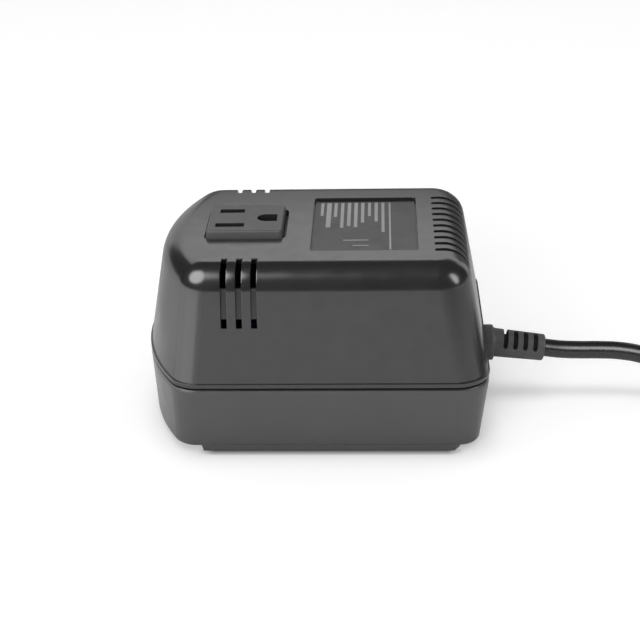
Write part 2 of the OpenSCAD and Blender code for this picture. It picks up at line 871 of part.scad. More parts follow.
module coil_bobbin() {
    color("#d8d2c0")
    translate([core_x, 0, 0])
        difference() {
            union() {
                translate([0, 0, bobbin_z])
                    linear_extrude(bobbin_top - bobbin_z)
                        round_rect(bobbin_l, bobbin_w, 0.5);
                for (z = [bobbin_z, bobbin_top - bobbin_flange])
                    translate([0, 0, z])
                        linear_extrude(bobbin_flange)
                            round_rect(2 * flange_edge_x, 2 * flange_edge_y, 1);
            }
            translate([-bobbin_in_l / 2, -bobbin_in_w / 2, 0])
                cube([bobbin_in_l, bobbin_in_w, case_h]);
            for (p = tag_places)
                translate([p[0], p[1], window_z + window_h])
                    cube([tag_w + 2 * close_clear, tag_t + 2 * close_clear, window_h], center = true);
        }
}

winding_z = bobbin_z + bobbin_flange + close_clear;
winding_h = bobbin_top - bobbin_z - 2 * bobbin_flange - 2 * close_clear;

module primary_winding() {
    color("#a9582c")
    translate([core_x, 0, winding_z])
        leg_sleeve(primary_in, primary_t, winding_h);
}

module secondary_winding() {
    color("#b86a35")
    translate([core_x, 0, winding_z])
        leg_sleeve(secondary_in, secondary_t, winding_h);
}

module winding_wrap() {
    color("#d9c65a")
    translate([core_x, 0, winding_z])
        leg_sleeve(wrap_in, wrap_t, winding_h);
}

// Solder tags: mains at the back, then the tap and the common end at the front
tag_places = [[-tag_x, tag_y], [-tag_x, -tag_y], [tag_x, -tag_y]];
tag_top = bobbin_top - bobbin_flange + tag_h;

module terminal_tags() {
    color("#c7c9cc")
    for (p = tag_places)
        translate([core_x + p[0] - tag_w / 2, p[1] - tag_t / 2, winding_z + winding_h + close_clear])
            cube([tag_w, tag_t, tag_top - winding_z - winding_h - close_clear]);
}

module core_frame() {
    half = core_l / 2;
    out = half + frame_t;
    top = core_top - core_z;
    color("#9fa3a8")
    translate([core_x, 0, core_z])
        difference() {
            rotate([90, 0, 0])
                linear_extrude(frame_w, center = true)
                    polygon([[-out - frame_foot, 0], [-half, 0], [-half, top], [half, top], [half, 0],
                        [out + frame_foot, 0], [out + frame_foot, frame_t], [out, frame_t],
                        [out, top + frame_t], [-out, top + frame_t], [-out, frame_t],
                        [-out - frame_foot, frame_t]]);
            for (i = [-1, 1])
                translate([i * frame_screw_x, 0, -1])
                    cylinder(d = frame_screw_d + 2 * clear, h = 3 * frame_t + 1);
        }
}

module frame_screws() {
    color("#b9bcc0")
    for (i = [-1, 1])
        translate([core_x + i * frame_screw_x, 0, core_z + frame_t])
            rotate([180, 0, 0])
                screw(frame_screw_d, frame_t + core_lift);
}

module thermal_fuse() {
    color("#c4c0b4")
    translate([core_x, fuse_y, fuse_z])
        rotate([0, 90, 0])
            rotate_extrude()
                polygon([[0, -fuse_l / 2 - fuse_leg_l], [fuse_leg_d / 2, -fuse_l / 2 - fuse_leg_l],
                    [fuse_leg_d / 2, -fuse_l / 2], [fuse_d / 2 - 0.5, -fuse_l / 2],
                    [fuse_d / 2, 0.5 - fuse_l / 2], [fuse_d / 2, fuse_l / 2 - 0.5],
                    [fuse_d / 2 - 0.5, fuse_l / 2], [fuse_leg_d / 2, fuse_l / 2],
                    [fuse_leg_d / 2, fuse_l / 2 + fuse_leg_l], [0, fuse_l / 2 + fuse_leg_l]]);
}

// Wires inside the case: each runs straight out of what it starts and ends on

wire_sides = 8;
wire_x = inner_flange_x - inner_flange_t;
wire_y = 0.7 * wire_d;
fuse_end = fuse_l / 2 + fuse_leg_l;
tag_face = tag_y + tag_t / 2;
tag_joint = tag_top - wire_d;
side_x = core_to + frame_t + 1.5 * wire_d;

module wire(points, up) {
    tube(smooth(points, 3), wire_d, wire_sides, up);
}

module live_in_wire() {
    color("#7a4a2b")
    wire([
        [wire_x, wire_y, cord_z],
        [wire_x - wire_d, wire_y, cord_z],
        [side_x, 4 * wire_d, cord_z + wire_d],
        [side_x - wire_d / 2, stack / 2 + 1.5 * wire_d, fuse_z - wire_d],
        [core_x + fuse_end + 3 * wire_d, fuse_y - wire_d / 2, fuse_z],
        [core_x + fuse_end + wire_d, fuse_y, fuse_z],
        [core_x + fuse_end, fuse_y, fuse_z]
    ], [0, 0, 1]);
}

module fuse_wire() {
    color("#7a4a2b")
    wire([
        [core_x - fuse_end, fuse_y, fuse_z],
        [core_x - fuse_end - wire_d, fuse_y, fuse_z],
        [core_x - fuse_end - 2 * wire_d, fuse_y + wire_d / 2, fuse_z + 2 * wire_d],
        [core_x - fuse_end + wire_d / 2, fuse_y + wire_d, tag_joint - wire_d],
        [core_x - tag_x, tag_face + 2 * wire_d, tag_joint],
        [core_x - tag_x, tag_face + wire_d, tag_joint],
        [core_x - tag_x, tag_face, tag_joint]
    ], [1, 0.3, 0]);
}

module neutral_in_wire() {
    color("#3f5f9a")
    wire([
        [wire_x, -wire_y, cord_z],
        [wire_x - wire_d, -wire_y, cord_z],
        [side_x, -4 * wire_d, cord_z + wire_d],
        [side_x - wire_d / 2, -stack / 2 - 2 * wire_d, fuse_z],
        [core_x + flange_edge_x + 0.6 * wire_d, -flange_edge_y - 1.1 * wire_d, tag_joint - 1.5 * wire_d],
        [core_x + tag_x, -tag_face - 2.5 * wire_d, tag_joint],
        [core_x + tag_x, -tag_face - wire_d, tag_joint],
        [core_x + tag_x, -tag_face, tag_joint]
    ], [0, 0, 1]);
}

module live_out_wire() {
    color("#7a4a2b")
    wire([
        [core_x - tag_x, -tag_face, tag_joint],
        [core_x - tag_x, -tag_face - wire_d, tag_joint],
        [core_x - flange_edge_x + wire_d, -flange_edge_y - 0.9 * wire_d, tag_joint - wire_d / 2],
        [core_from + 1.5 * wire_d, -flange_edge_y - 0.9 * wire_d, tag_joint - 1.75 * wire_d],
        [core_from - frame_t - 3 * wire_d, -stack / 2, tail_z - 1.75 * wire_d],
        [blade_x + 3 * wire_d, blade_pitch / 2 - 2 * wire_d, tail_z - 3 * wire_d],
        [blade_x, blade_pitch / 2, tail_z - 2 * wire_d],
        [blade_x, blade_pitch / 2, tail_z - wire_d],
        [blade_x, blade_pitch / 2, tail_z]
    ], [1, 1, 0]);
}

module neutral_out_wire() {
    low = tag_joint - wire_d - clear;
    color("#3f5f9a")
    wire([
        [core_x + tag_x, -tag_face, low],
        [core_x + tag_x, -tag_face - wire_d, low],
        [core_x + tag_x - 2.5 * wire_d, -flange_edge_y - 1.4 * wire_d, low - wire_d / 2],
        [core_x - tag_x, -flange_edge_y - 1.9 * wire_d, low - 2 * wire_d],
        [core_from + wire_d / 2, -flange_edge_y - 1.15 * wire_d, low - 3.5 * wire_d],
        [blade_x + 5 * wire_d, -blade_pitch / 2 - 4 * wire_d, tail_z - 4.5 * wire_d],
        [blade_x + wire_d, -blade_pitch / 2 - wire_d / 2, tail_z - 3.5 * wire_d],
        [blade_x, -blade_pitch / 2, tail_z - 2 * wire_d],
        [blade_x, -blade_pitch / 2, tail_z - wire_d],
        [blade_x, -blade_pitch / 2, tail_z]
    ], [0.3, 1, 0]);
}

// Mains lead

// Radius of the strain relief's tapering tail at a distance from its neck
function tail_r(x) = (neck_d + (tip_d - neck_d) * x / relief_l) / 2;

module strain_relief() {
    core_r = relief_core_d / 2;
    neck_from = -0.6 * flange_t;
    rib_from = [for (i = [0:rib_n - 1]) neck_l + rib_gap + i * (rib_w + rib_gap)];
    ribs = [for (x = rib_from)
        each [[core_r, x], [tail_r(x), x], [tail_r(x + rib_w), x + rib_w], [core_r, x + rib_w]]];
    end = rib_from[rib_n - 1] + rib_w;
    web_from = [neck_l - 0.4, rib_from[0] + rib_w / 2];
    web_to = end - rib_w / 2;
    color("#2b2b2d")
    union() {
        translate([neck_x, 0, cord_z])
            rotate([0, 90 + relief_tilt, 0]) {
                rotate_extrude()
                    polygon(concat(
                        [[0, neck_from], [neck_d / 2, neck_from], [neck_d / 2, neck_l], [core_r, neck_l]],
                        [for (i = [0:len(ribs) - 3]) ribs[i]],
                        [[tail_r(end), end], [tail_r(end) - 0.9, relief_l], [0, relief_l]]
                    ));
                for (i = [0, 1])
                    rotate(180 * i + rib_web_turn)
                        rotate_extrude(angle = rib_web_angle)
                            polygon([[core_r - 1, web_from[i]], [tail_r(web_from[i]) - 0.3, web_from[i]],
                                [tail_r(web_to) - 0.3, web_to], [core_r - 1, web_to]]);
            }
        translate([0, 0, cord_z])
            rotate([0, 90, 0]) {
                translate([0, 0, outer_flange_x])
                    rotate_extrude()
                        polygon([[0, 0], [flange_d / 2, 0], [flange_d / 2, flange_t - 0.5],
                            [flange_d / 2 - 0.5, flange_t], [0, flange_t]]);
                translate([0, 0, inner_flange_x - inner_flange_t])
                    cylinder(d = notch_core_d, h = outer_flange_x - inner_flange_x + inner_flange_t);
                translate([0, 0, inner_flange_x - inner_flange_t])
                    linear_extrude(inner_flange_t)
                        round_rect(inner_flange, inner_flange, 1.5);
            }
    }
}

cord_sides = 10;

module cord_lead() {
    color("#1f1f21")
    tube(lead_route, cord_d, cord_sides, [0, 0, 1]);
}

module cord_coil() {
    echo(coil_gap = coil_gap);
    color("#1f1f21")
    tube(coil_route, cord_d, 6, [0, 0, 1]);
}

module cord_tail() {
    color("#1f1f21")
    tube(tail_route, cord_d, cord_sides, [0, 0, 1]);
}

// A flat strap round the bundle of turns, on the far side of the coil
module coil_tie() {
    inner_r = coil_radius((coil_turns - 1) / 2);
    outer_r = coil_radius(0.5);
    inner_l = outer_r - inner_r + cord_d + 2 * tie_gap;
    inner_h = coil_rise + cord_d + 2 * tie_gap;
    middle_r = (inner_r + outer_r) / 2;
    color("#303033")
    translate([coil_x - tie_w / 2, coil_y + middle_r, tie_t + inner_h / 2])
        rotate([90, 0, 90])
            linear_extrude(tie_w)
                difference() {
                    round_rect(inner_l + 2 * tie_t, inner_h + 2 * tie_t, 2);
                    round_rect(inner_l, inner_h, 2 - tie_t);
                }
}

module plug_outline() {
    back = plug_x + plug_relief_l;
    shoulder = back + 0.55 * plug_l;
    polygon(concat(
        [[back, -plug_back_w / 2], [shoulder, 1 - plug_w / 2]],
        arc(plug_front_x - 1.5, 1.5 - plug_w / 2, 1.5, -90, 0, 3),
        arc(plug_front_x - 1.5, plug_w / 2 - 1.5, 1.5, 0, 90, 3),
        [[shoulder, plug_w / 2 - 1], [back, plug_back_w / 2]]
    ));
}

module plug_body() {
    color("#232325")
    difference() {
        translate([0, plug_y, plug_z])
            union() {
                intersection() {
                    linear_extrude(plug_t, center = true)
                        plug_outline();
                    translate([plug_x, 0, 0])
                        rotate([90, 0, 90])
                            linear_extrude(plug_relief_l + plug_l)
                                round_rect(plug_w, plug_t, 4.5);
                }
                translate([plug_x, 0, 0])
                    rotate([0, 90, 0])
                        rotate_extrude()
                            polygon([[0, 0], [cord_d / 2 + 0.7, 0], [cord_d / 2 + 1, 0.5],
                                [plug_t / 2 - 2, plug_relief_l], [plug_t / 2 - 2, plug_relief_l + 2],
                                [0, plug_relief_l + 2]]);
            }
        for (i = [-1, 1])
            translate([plug_front_x - pin_root, plug_y + i * pin_pitch / 2, plug_z])
                rotate([0, 90, 0])
                    cylinder(d = pin_core_d, h = pin_root + 1);
    }
}

module plug_pins() {
    color("#cfd1d4")
    for (i = [-1, 1])
        translate([plug_front_x, plug_y + i * pin_pitch / 2, plug_z])
            rotate([0, 90, 0])
                rotate_extrude()
                    polygon(concat(
                        [[0, -pin_root], [pin_core_d / 2, -pin_root], [pin_core_d / 2, sleeve_l],
                            [pin_d / 2, sleeve_l]],
                        arc(pin_d / 2 - 1, pin_l - 1, 1, 0, 90, 4),
                        [[0, pin_l]]
                    ));
}

module pin_sleeves() {
    color("#2c2c2e")
    for (i = [-1, 1])
        translate([plug_front_x, plug_y + i * pin_pitch / 2, plug_z])
            rotate([0, 90, 0])
                difference() {
                    cylinder(d = sleeve_d, h = sleeve_l);
                    translate([0, 0, -1])
                        cylinder(d = pin_core_d, h = sleeve_l + 2);
                }
}

base_tray();
top_cover();
case_screws();
rating_plate();
socket_insert();
socket_bridge();
bridge_screws();
live_contact();
neutral_contact();
earth_contact();
core_e_stack();
core_i_stack();
coil_bobbin();
primary_winding();
secondary_winding();
winding_wrap();
terminal_tags();
core_frame();
frame_screws();
thermal_fuse();
live_in_wire();
fuse_wire();
neutral_in_wire();
live_out_wire();
neutral_out_wire();
strain_relief();
cord_lead();
cord_coil();
cord_tail();
coil_tie();
plug_body();
plug_pins();
pin_sleeves();
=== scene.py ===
"""Looks of a travel voltage converter: case, mains socket, ruled plate, strain relief, lead and plug."""

import logging
import math
from collections.abc import Callable
from dataclasses import dataclass
from enum import Enum

import bmesh
import bpy
from bpy.types import ID, Material, Node, NodeSocket, NodeTree, Object
from mathutils import Matrix, Vector


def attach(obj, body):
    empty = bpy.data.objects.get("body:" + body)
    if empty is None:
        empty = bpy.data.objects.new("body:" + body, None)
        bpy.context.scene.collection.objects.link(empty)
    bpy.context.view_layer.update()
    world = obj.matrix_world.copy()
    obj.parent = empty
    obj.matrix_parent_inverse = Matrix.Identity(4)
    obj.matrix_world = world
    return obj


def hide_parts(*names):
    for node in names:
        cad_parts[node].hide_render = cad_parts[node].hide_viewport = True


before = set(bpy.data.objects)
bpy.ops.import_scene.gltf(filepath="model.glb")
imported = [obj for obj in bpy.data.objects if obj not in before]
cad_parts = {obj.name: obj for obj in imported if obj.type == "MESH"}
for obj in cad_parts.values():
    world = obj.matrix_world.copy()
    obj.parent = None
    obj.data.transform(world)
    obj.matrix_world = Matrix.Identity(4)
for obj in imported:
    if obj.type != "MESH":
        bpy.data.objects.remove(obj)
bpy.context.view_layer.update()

log = logging.getLogger("converter")

MM = 0.001
BODY = "root"

Flat = tuple[float, float]
Point = tuple[float, float, float]
Colour = tuple[float, float, float]
Outline = list[Flat]
Ring = list[Point]
Solid = list[Ring]
Faces = list[tuple[int, ...]]
Test = Callable[[Vector], bool]
Input = NodeSocket | float | tuple[float, ...]


class Slot(Enum):
    """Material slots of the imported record."""

    CASE = "case"
    PLATE = "plate"
    SOCKET = "socket"
    BRIDGE = "bridge"
    SCREW = "screw_steel"
    CONTACT = "contact"
    CORE = "core"
    BOBBIN = "bobbin"
    COPPER = "copper"
    TAPE = "tape"
    TINNED = "tinned"
    ZINC = "zinc"
    FUSE = "fuse"
    BROWN = "brown_wire"
    BLUE = "blue_wire"
    RELIEF = "relief"
    CORD = "cord"
    TIE = "tie"
    PLUG = "plug"
    PIN = "pin_metal"


class Axis(Enum):
    """Directions that a banded finish runs across."""

    Y = "Y"
    Z = "Z"


class Join(Enum):
    """Ways to combine two solids."""

    CUT = "DIFFERENCE"
    ADD = "UNION"
    KEEP = "INTERSECT"


class LampShape(Enum):
    """Outlines of a lamp."""

    RECTANGLE = "RECTANGLE"
    ELLIPSE = "ELLIPSE"


# Finishes

MIDDLE = (0.3, 0.7)  # the range that most of a pattern lies in
WHITE = (1.0, 1.0, 1.0, 1.0)
NO_COLOUR = (0.0, 0.0, 0.0, 1.0)


class Nodes:
    """A node tree, with short ways to add nodes and to join them."""

    def __init__(self, tree: NodeTree) -> None:
        """Take the tree to work on."""
        self.tree = tree

    def join(self, socket: NodeSocket, value: Input) -> None:
        """Link another node's output to a socket, or set a plain value on it.

        Args:
            socket: the input.
            value: the output that feeds it, or its plain value.
        """
        if isinstance(value, NodeSocket):
            self.tree.links.new(value, socket)
        else:
            socket.default_value = value

    def add(self, kind: str, **inputs: Input) -> Node:
        """Add a node.

        Args:
            kind: its type, without the words that all types start with.
            inputs: its inputs by name, with underscores for spaces.

        Returns:
            The node.
        """
        node = self.tree.nodes.new("ShaderNode" + kind)
        for name, value in inputs.items():
            self.join(node.inputs[name.replace("_", " ")], value)
        return node

    def reckon(self, operation: str, first: Input, second: Input = 0.0) -> NodeSocket:
        """Work out a value from one or two others.

        Args:
            operation: what is done with them.
            first: the first value.
            second: the second value, where it takes two.

        Returns:
            The new value.
        """
        node = self.add("Math")
        node.operation = operation
        self.join(node.inputs[0], first)
        self.join(node.inputs[1], second)
        return node.outputs[0]

    def mapped(self, value: NodeSocket, source: Flat, low: Input, high: Input) -> NodeSocket:
        """Map a value from one range onto another.

        Args:
            value: what is mapped.
            source: the two ends of the range that it comes from.
            low: what the first end becomes.
            high: what the second end becomes.

        Returns:
            The mapped value.
        """
        start, stop = source
        node = self.add("MapRange", Value=value, From_Min=start, From_Max=stop, To_Min=low, To_Max=high)
        return node.outputs["Result"]


class Shader(Nodes):
    """A material's nodes: its shader, and patterns that follow the piece."""

    def __init__(self, name: str, **values: Input) -> None:
        """Start a material.

        Args:
            name: its name.
            values: plain values for its shader, by names with underscores for spaces.
        """
        self.material = bpy.data.materials.new(name)
        self.material.use_nodes = True
        super().__init__(self.material.node_tree)
        self.surface = self.tree.nodes["Principled BSDF"]
        self.place = self.add("TexCoord").outputs["Object"]
        self.set(**values)

    def set(self, **values: Input) -> None:
        """Set or link the shader's inputs, by names with underscores for spaces."""
        for name, value in values.items():
            self.join(self.surface.inputs[name.replace("_", " ")], value)

    def noise(self, size: float, detail: float, stretch: Point = (1.0, 1.0, 1.0)) -> NodeSocket:
        """Add a noise pattern.

        Args:
            size: width of its larger patches, in millimetres.
            detail: how many finer layers it holds.
            stretch: how much it is drawn out along each direction.

        Returns:
            The pattern's value, from 0 to 1.
        """
        scale = tuple(1.0 / (size * MM * s) for s in stretch)
        place = self.add("Mapping", Vector=self.place, Scale=scale).outputs["Vector"]
        return self.add("TexNoise", Vector=place, Scale=1.0, Detail=detail).outputs[0]

    def bands(self, pitch: float, across: Axis) -> NodeSocket:
        """Add even bands.

        Args:
            pitch: distance from band to band, in millimetres.
            across: the direction that the bands follow each other in.

        Returns:
            The pattern's value, from 0 to 1.
        """
        scale = math.tau / (20.0 * pitch * MM)
        wave = self.add("TexWave", Vector=self.place, Scale=scale, Distortion=0.4, Detail=1.0)
        wave.bands_direction = across.value
        return wave.outputs[1]

    def colour(self, value: NodeSocket, dark: Colour, light: Colour) -> None:
        """Colour the surface by a pattern.

        Args:
            value: the pattern.
            dark: the tone where it is low.
            light: the tone where it is high.
        """
        ramp = self.add("ValToRGB", Fac=value)
        for element, tone, place in zip(ramp.color_ramp.elements, (dark, light), MIDDLE):
            element.color = (*tone, 1.0)
            element.position = place
        self.set(Base_Color=ramp.outputs["Color"])

    def roughness(self, value: NodeSocket, middle: float, spread: float) -> None:
        """Let the surface's roughness follow a pattern, to both sides of its middle."""
        self.set(Roughness=self.mapped(value, MIDDLE, middle - spread, middle + spread))

    def bump(self, value: NodeSocket, height: float) -> None:
        """Raise the surface by a pattern, by a height in millimetres."""
        self.set(Normal=self.add("Bump", Height=value, Distance=height * MM, Strength=1.0).outputs["Normal"])


def toned(colour: Colour, share: float) -> Colour:
    """Give a colour made lighter or darker by a share."""
    return tuple(min(1.0, c * share) for c in colour)


@dataclass(frozen=True)
class Moulding:
    """Moulded plastic with a fine eroded grain, faint clouding and slightly uneven gloss."""

    name: str
    colour: Colour
    roughness: float = 0.32
    grain: float = 0.002
    grain_size: float = 0.9
    clouding: float = 0.05
    cloud_size: float = 14.0
    gloss_size: float = 5.0
    gloss_spread: float = 0.03
    ior: float = 1.5

    def material(self) -> Material:
        """Make the finish.

        Returns:
            The material.
        """
        shader = Shader(self.name, IOR=self.ior)
        tones = (toned(self.colour, 1 - self.clouding), toned(self.colour, 1 + self.clouding))
        shader.colour(shader.noise(self.cloud_size, 4.0), *tones)
        shader.roughness(shader.noise(self.gloss_size, 5.0), self.roughness, self.gloss_spread)
        shader.bump(shader.noise(self.grain_size, 2.0), self.grain)
        return shader.material


@dataclass(frozen=True)
class Metal:
    """Bare or plated metal with fine lines drawn along one direction."""

    name: str
    colour: Colour
    roughness: float = 0.3
    lines: float = 0.003
    along: Point = (12.0, 1.0, 1.0)
    line_size: float = 0.4
    cloud_size: float = 3.0
    shares: Flat = (0.9, 1.06)
    gloss_spread: float = 0.07

    def material(self) -> Material:
        """Make the finish.

        Returns:
            The material.
        """
        shader = Shader(self.name, Metallic=1.0)
        drawn = shader.noise(self.line_size, 4.0, self.along)
        tones = [toned(self.colour, share) for share in self.shares]
        shader.colour(shader.noise(self.cloud_size, 4.0), *tones)
        shader.roughness(drawn, self.roughness, self.gloss_spread)
        shader.bump(drawn, self.lines)
        return shader.material


@dataclass(frozen=True)
class Banded:
    """A surface of even bands: sheets of a core, or turns of wire."""

    name: str
    colour: Colour
    pitch: float
    across: Axis
    depth: float
    metallic: float
    roughness: float
    dark_share: float = 0.55
    gloss_size: float = 2.0
    gloss_spread: float = 0.08

    def material(self) -> Material:
        """Make the finish.

        Returns:
            The material.
        """
        shader = Shader(self.name, Metallic=self.metallic)
        bands = shader.bands(self.pitch, self.across)
        shader.colour(bands, toned(self.colour, self.dark_share), self.colour)
        shader.roughness(shader.noise(self.gloss_size, 4.0), self.roughness, self.gloss_spread)
        shader.bump(bands, self.depth)
        return shader.material


Finish = Moulding | Metal | Banded

CHARCOAL: Colour = (0.022, 0.022, 0.0225)
BLACK: Colour = (0.014, 0.014, 0.015)

FINISHES: dict[Slot, Finish] = {
    Slot.CASE: Moulding("charcoal_case", CHARCOAL, roughness=0.21, ior=1.78),
    Slot.PLATE: Moulding("satin_plate", CHARCOAL, roughness=0.34, ior=1.65),
    Slot.SOCKET: Moulding("charcoal_socket", (0.077, 0.077, 0.078), roughness=0.36, ior=1.45),
    Slot.BRIDGE: Moulding("dark_bridge", (0.03, 0.03, 0.031), roughness=0.45),
    Slot.SCREW: Metal("plated_screw", (0.62, 0.63, 0.65), roughness=0.32),
    Slot.CONTACT: Metal("stamped_brass", (0.72, 0.52, 0.22)),
    Slot.CORE: Banded("core_sheets", (0.2, 0.2, 0.22), 0.5, Axis.Y, 0.05, metallic=1.0, roughness=0.42),
    Slot.BOBBIN: Moulding("natural_nylon", (0.7, 0.66, 0.54), roughness=0.42),
    Slot.COPPER: Banded("enamelled_turns", (0.5, 0.18, 0.06), 0.6, Axis.Z, 0.1, metallic=0.7, roughness=0.25),
    Slot.TAPE: Moulding("polyester_tape", (0.72, 0.52, 0.06), roughness=0.22, grain=0.006, grain_size=2.5),
    Slot.TINNED: Metal("tinned_tag", (0.72, 0.73, 0.75), roughness=0.35),
    Slot.ZINC: Metal("zinc_strap", (0.55, 0.57, 0.6), roughness=0.38),
    Slot.FUSE: Moulding("fuse_body", (0.62, 0.6, 0.53), roughness=0.4),
    Slot.BROWN: Moulding("brown_insulation", (0.17, 0.06, 0.025), roughness=0.38),
    Slot.BLUE: Moulding("blue_insulation", (0.03, 0.08, 0.3), roughness=0.38),
    Slot.RELIEF: Moulding("soft_relief", (0.072, 0.072, 0.073), roughness=0.48, ior=1.6),
    Slot.CORD: Moulding("lead_sheath", BLACK, roughness=0.27, ior=1.65, grain=0.0005, grain_size=2.5),
    Slot.TIE: Moulding("tie_strap", BLACK, roughness=0.4, grain=0.01, grain_size=0.5),
    Slot.PLUG: Moulding("soft_plug", (0.02, 0.02, 0.021), roughness=0.4, grain=0.008),
    Slot.PIN: Metal("nickel_pin", (0.72, 0.7, 0.66), roughness=0.2, along=(1.0, 10.0, 10.0)),
}

# The tray is the cover's charcoal plastic, partly painted light: its base colour is raised above the cover's
# to stand in for a brighter reflection of the floor.
TRAY_PAINTED_LIGHT = Moulding("charcoal_tray_painted_light", (0.046, 0.046, 0.0465), roughness=0.23, ior=1.78)
PRINT = Moulding("pale_rules", (0.3, 0.3, 0.3), roughness=0.45, grain=0.001)
# Painted light: a lighter copy of the socket's plastic for its sloped sides.
SOCKET_SIDE_PAINTED_LIGHT = Moulding("socket_side_painted_light", (0.095, 0.095, 0.096), roughness=0.5, ior=1.45)
# Painted shade: a near-black copy of the socket's plastic for the faces inside its openings.
SOCKET_PAINTED_SHADE = Moulding("socket_inside_painted_shade", (0.018, 0.018, 0.018), roughness=0.6, ior=1.4)
# Painted shade: a near-black copy of the relief's plastic for the faces deep in its slots.
RELIEF_SLOT_PAINTED_SHADE = Moulding("relief_slot_painted_shade", (0.012, 0.012, 0.012), roughness=0.7, ior=1.4)


class Paints:
    """The finishes as materials, each made once, and the ways to put them on pieces."""

    def __init__(self) -> None:
        """Start with none made."""
        self.made: dict[str, Material] = {}

    def of(self, finish: Finish) -> Material:
        """Give a finish's material, made on its first use.

        Args:
            finish: the finish.

        Returns:
            Its material.
        """
        if finish.name not in self.made:
            self.made[finish.name] = finish.material()
        return self.made[finish.name]

    def dress(self, piece: Object, finish: Finish) -> None:
        """Give a piece one finish all over."""
        piece.data.materials.clear()
        piece.data.materials.append(self.of(finish))

    def part(self, piece: Object, finish: Finish, wanted: Test) -> None:
        """Give some faces of a dressed piece a material of their own; it carries painted light and shade.

        Args:
            piece: the piece.
            finish: the finish of those faces.
            wanted: tells from the middle of a face, in millimetres, whether it is one of them.
        """
        piece.data.materials.append(self.of(finish))
        last = len(piece.data.materials) - 1
        for face in piece.data.polygons:
            if wanted(face.center / MM):
                face.material_index = last

    def settle(self, piece: Object, slot: Slot, *nodes: str, finish: Finish | None = None) -> Object:
        """Dress a piece, let it ride on the body and stand for the solids that it replaces.

        Args:
            piece: the piece.
            slot: the record's slot that it belongs to.
            nodes: the solids that it replaces.
            finish: a finish other than the slot's own.

        Returns:
            The same piece.
        """
        self.dress(piece, finish or FINISHES[slot])
        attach(piece, BODY)
        if nodes:
            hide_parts(*nodes)
        points = len(getattr(piece.data, "vertices", []))
        log.info("piece %s: %d points, slot %s", piece.name, points, slot.value)
        return piece


# Meshes


def placed(name: str, data: ID) -> Object:
    """Make an object of its data and put it in the scene.

    Args:
        name: the object's name.
        data: what it shows.

    Returns:
        The object.
    """
    made = bpy.data.objects.new(name, data)
    bpy.context.scene.collection.objects.link(made)
    return made


def mesh_of(name: str, points: Ring, faces: Faces) -> Object:
    """Make an object of points and faces.

    Args:
        name: the object's name.
        points: its points, in metres.
        faces: its faces, by the points' places in the list.

    Returns:
        The object.
    """
    mesh = bpy.data.meshes.new(name)
    mesh.from_pydata(points, [], faces)
    return placed(name, mesh)


def ring_faces(rings: int, count: int, first: int = 0) -> Faces:
    """Give the faces of one closed solid through rings.

    Args:
        rings: how many rings there are.
        count: how many points each has.
        first: the place of the first ring's first point.

    Returns:
        The two end faces and the sides.
    """
    last = first + (rings - 1) * count
    faces = [tuple(range(first + count - 1, first - 1, -1)), tuple(range(last, last + count))]
    for start in range(first, last, count):
        for i in range(count):
            a = start + i
            b = start + (i + 1) % count
            faces.append((a, b, b + count, a + count))
    return faces


def lofts(name: str, solids: list[Solid]) -> Object:
    """Make one object of closed solids that stand apart.

    Args:
        name: the object's name.
        solids: each solid's rings of equally many points, in millimetres.

    Returns:
        The object, with its faces turned outwards.
    """
    points: Ring = []
    faces: Faces = []
    for rings in solids:
        faces += ring_faces(len(rings), len(rings[0]), len(points))
        points += [(x * MM, y * MM, z * MM) for ring in rings for x, y, z in ring]
    made = mesh_of(name, points, faces)
    shape = bmesh.new()
    shape.from_mesh(made.data)
    bmesh.ops.recalc_face_normals(shape, faces=shape.faces)
    shape.to_mesh(made.data)
    shape.free()
    return made


def loft(name: str, rings: Solid) -> Object:
    """Make one closed solid through rings of equally many points."""
    return lofts(name, [rings])


def box(low: Point, high: Point) -> Solid:
    """Give a block's two rings, from its lowest to its highest corner."""
    corners = [(low[0], low[1]), (high[0], low[1]), (high[0], high[1]), (low[0], high[1])]
    return [[(x, y, z) for x, y in corners] for z in (low[2], high[2])]


def arc(cx: float, cy: float, radius: float, start: float, stop: float, steps: int) -> Outline:
    """Give the points of an arc, by its middle, radius, and first and last angle in degrees."""
    turns = [math.radians(start + (stop - start) * i / steps) for i in range(steps + 1)]
    return [(cx + radius * math.cos(a), cy + radius * math.sin(a)) for a in turns]


def quarter(steps: int) -> list[Flat]:
    """Give the cosine and the sine at even steps of a quarter turn."""
    turns = [math.pi / 2 * i / steps for i in range(steps + 1)]
    return [(math.cos(turn), math.sin(turn)) for turn in turns]


def circle(radius: float, steps: int = 40) -> Outline:
    """Give the points of a circle about the origin."""
    return arc(0.0, 0.0, radius, 0.0, 360.0 * (steps - 1) / steps, steps - 1)


def round_rect(length: float, width: float, radius: float, steps: int = 6) -> Outline:
    """Give a rectangle with round corners about the origin.

    Args:
        length: its size along the first direction.
        width: its size along the second direction.
        radius: the corners' radius.
        steps: steps of each corner.

    Returns:
        The outline's points, anticlockwise.
    """
    x = length / 2 - radius
    y = width / 2 - radius
    corners = ((x, y, 0), (-x, y, 90), (-x, -y, 180), (x, -y, 270))
    return [p for cx, cy, turn in corners for p in arc(cx, cy, radius, turn, turn + 90, steps)]


def raised(outline: Outline, x: float, y: float, z: float) -> Ring:
    """Set a flat outline at a place and a height."""
    return [(px + x, py + y, z) for px, py in outline]


def pillars(places: tuple[Flat, ...], steps: tuple[Flat, ...]) -> list[Solid]:
    """Give a round upright solid at each place, through steps of radius and height."""
    return [[raised(circle(radius), x, y, z) for radius, z in steps] for x, y in places]


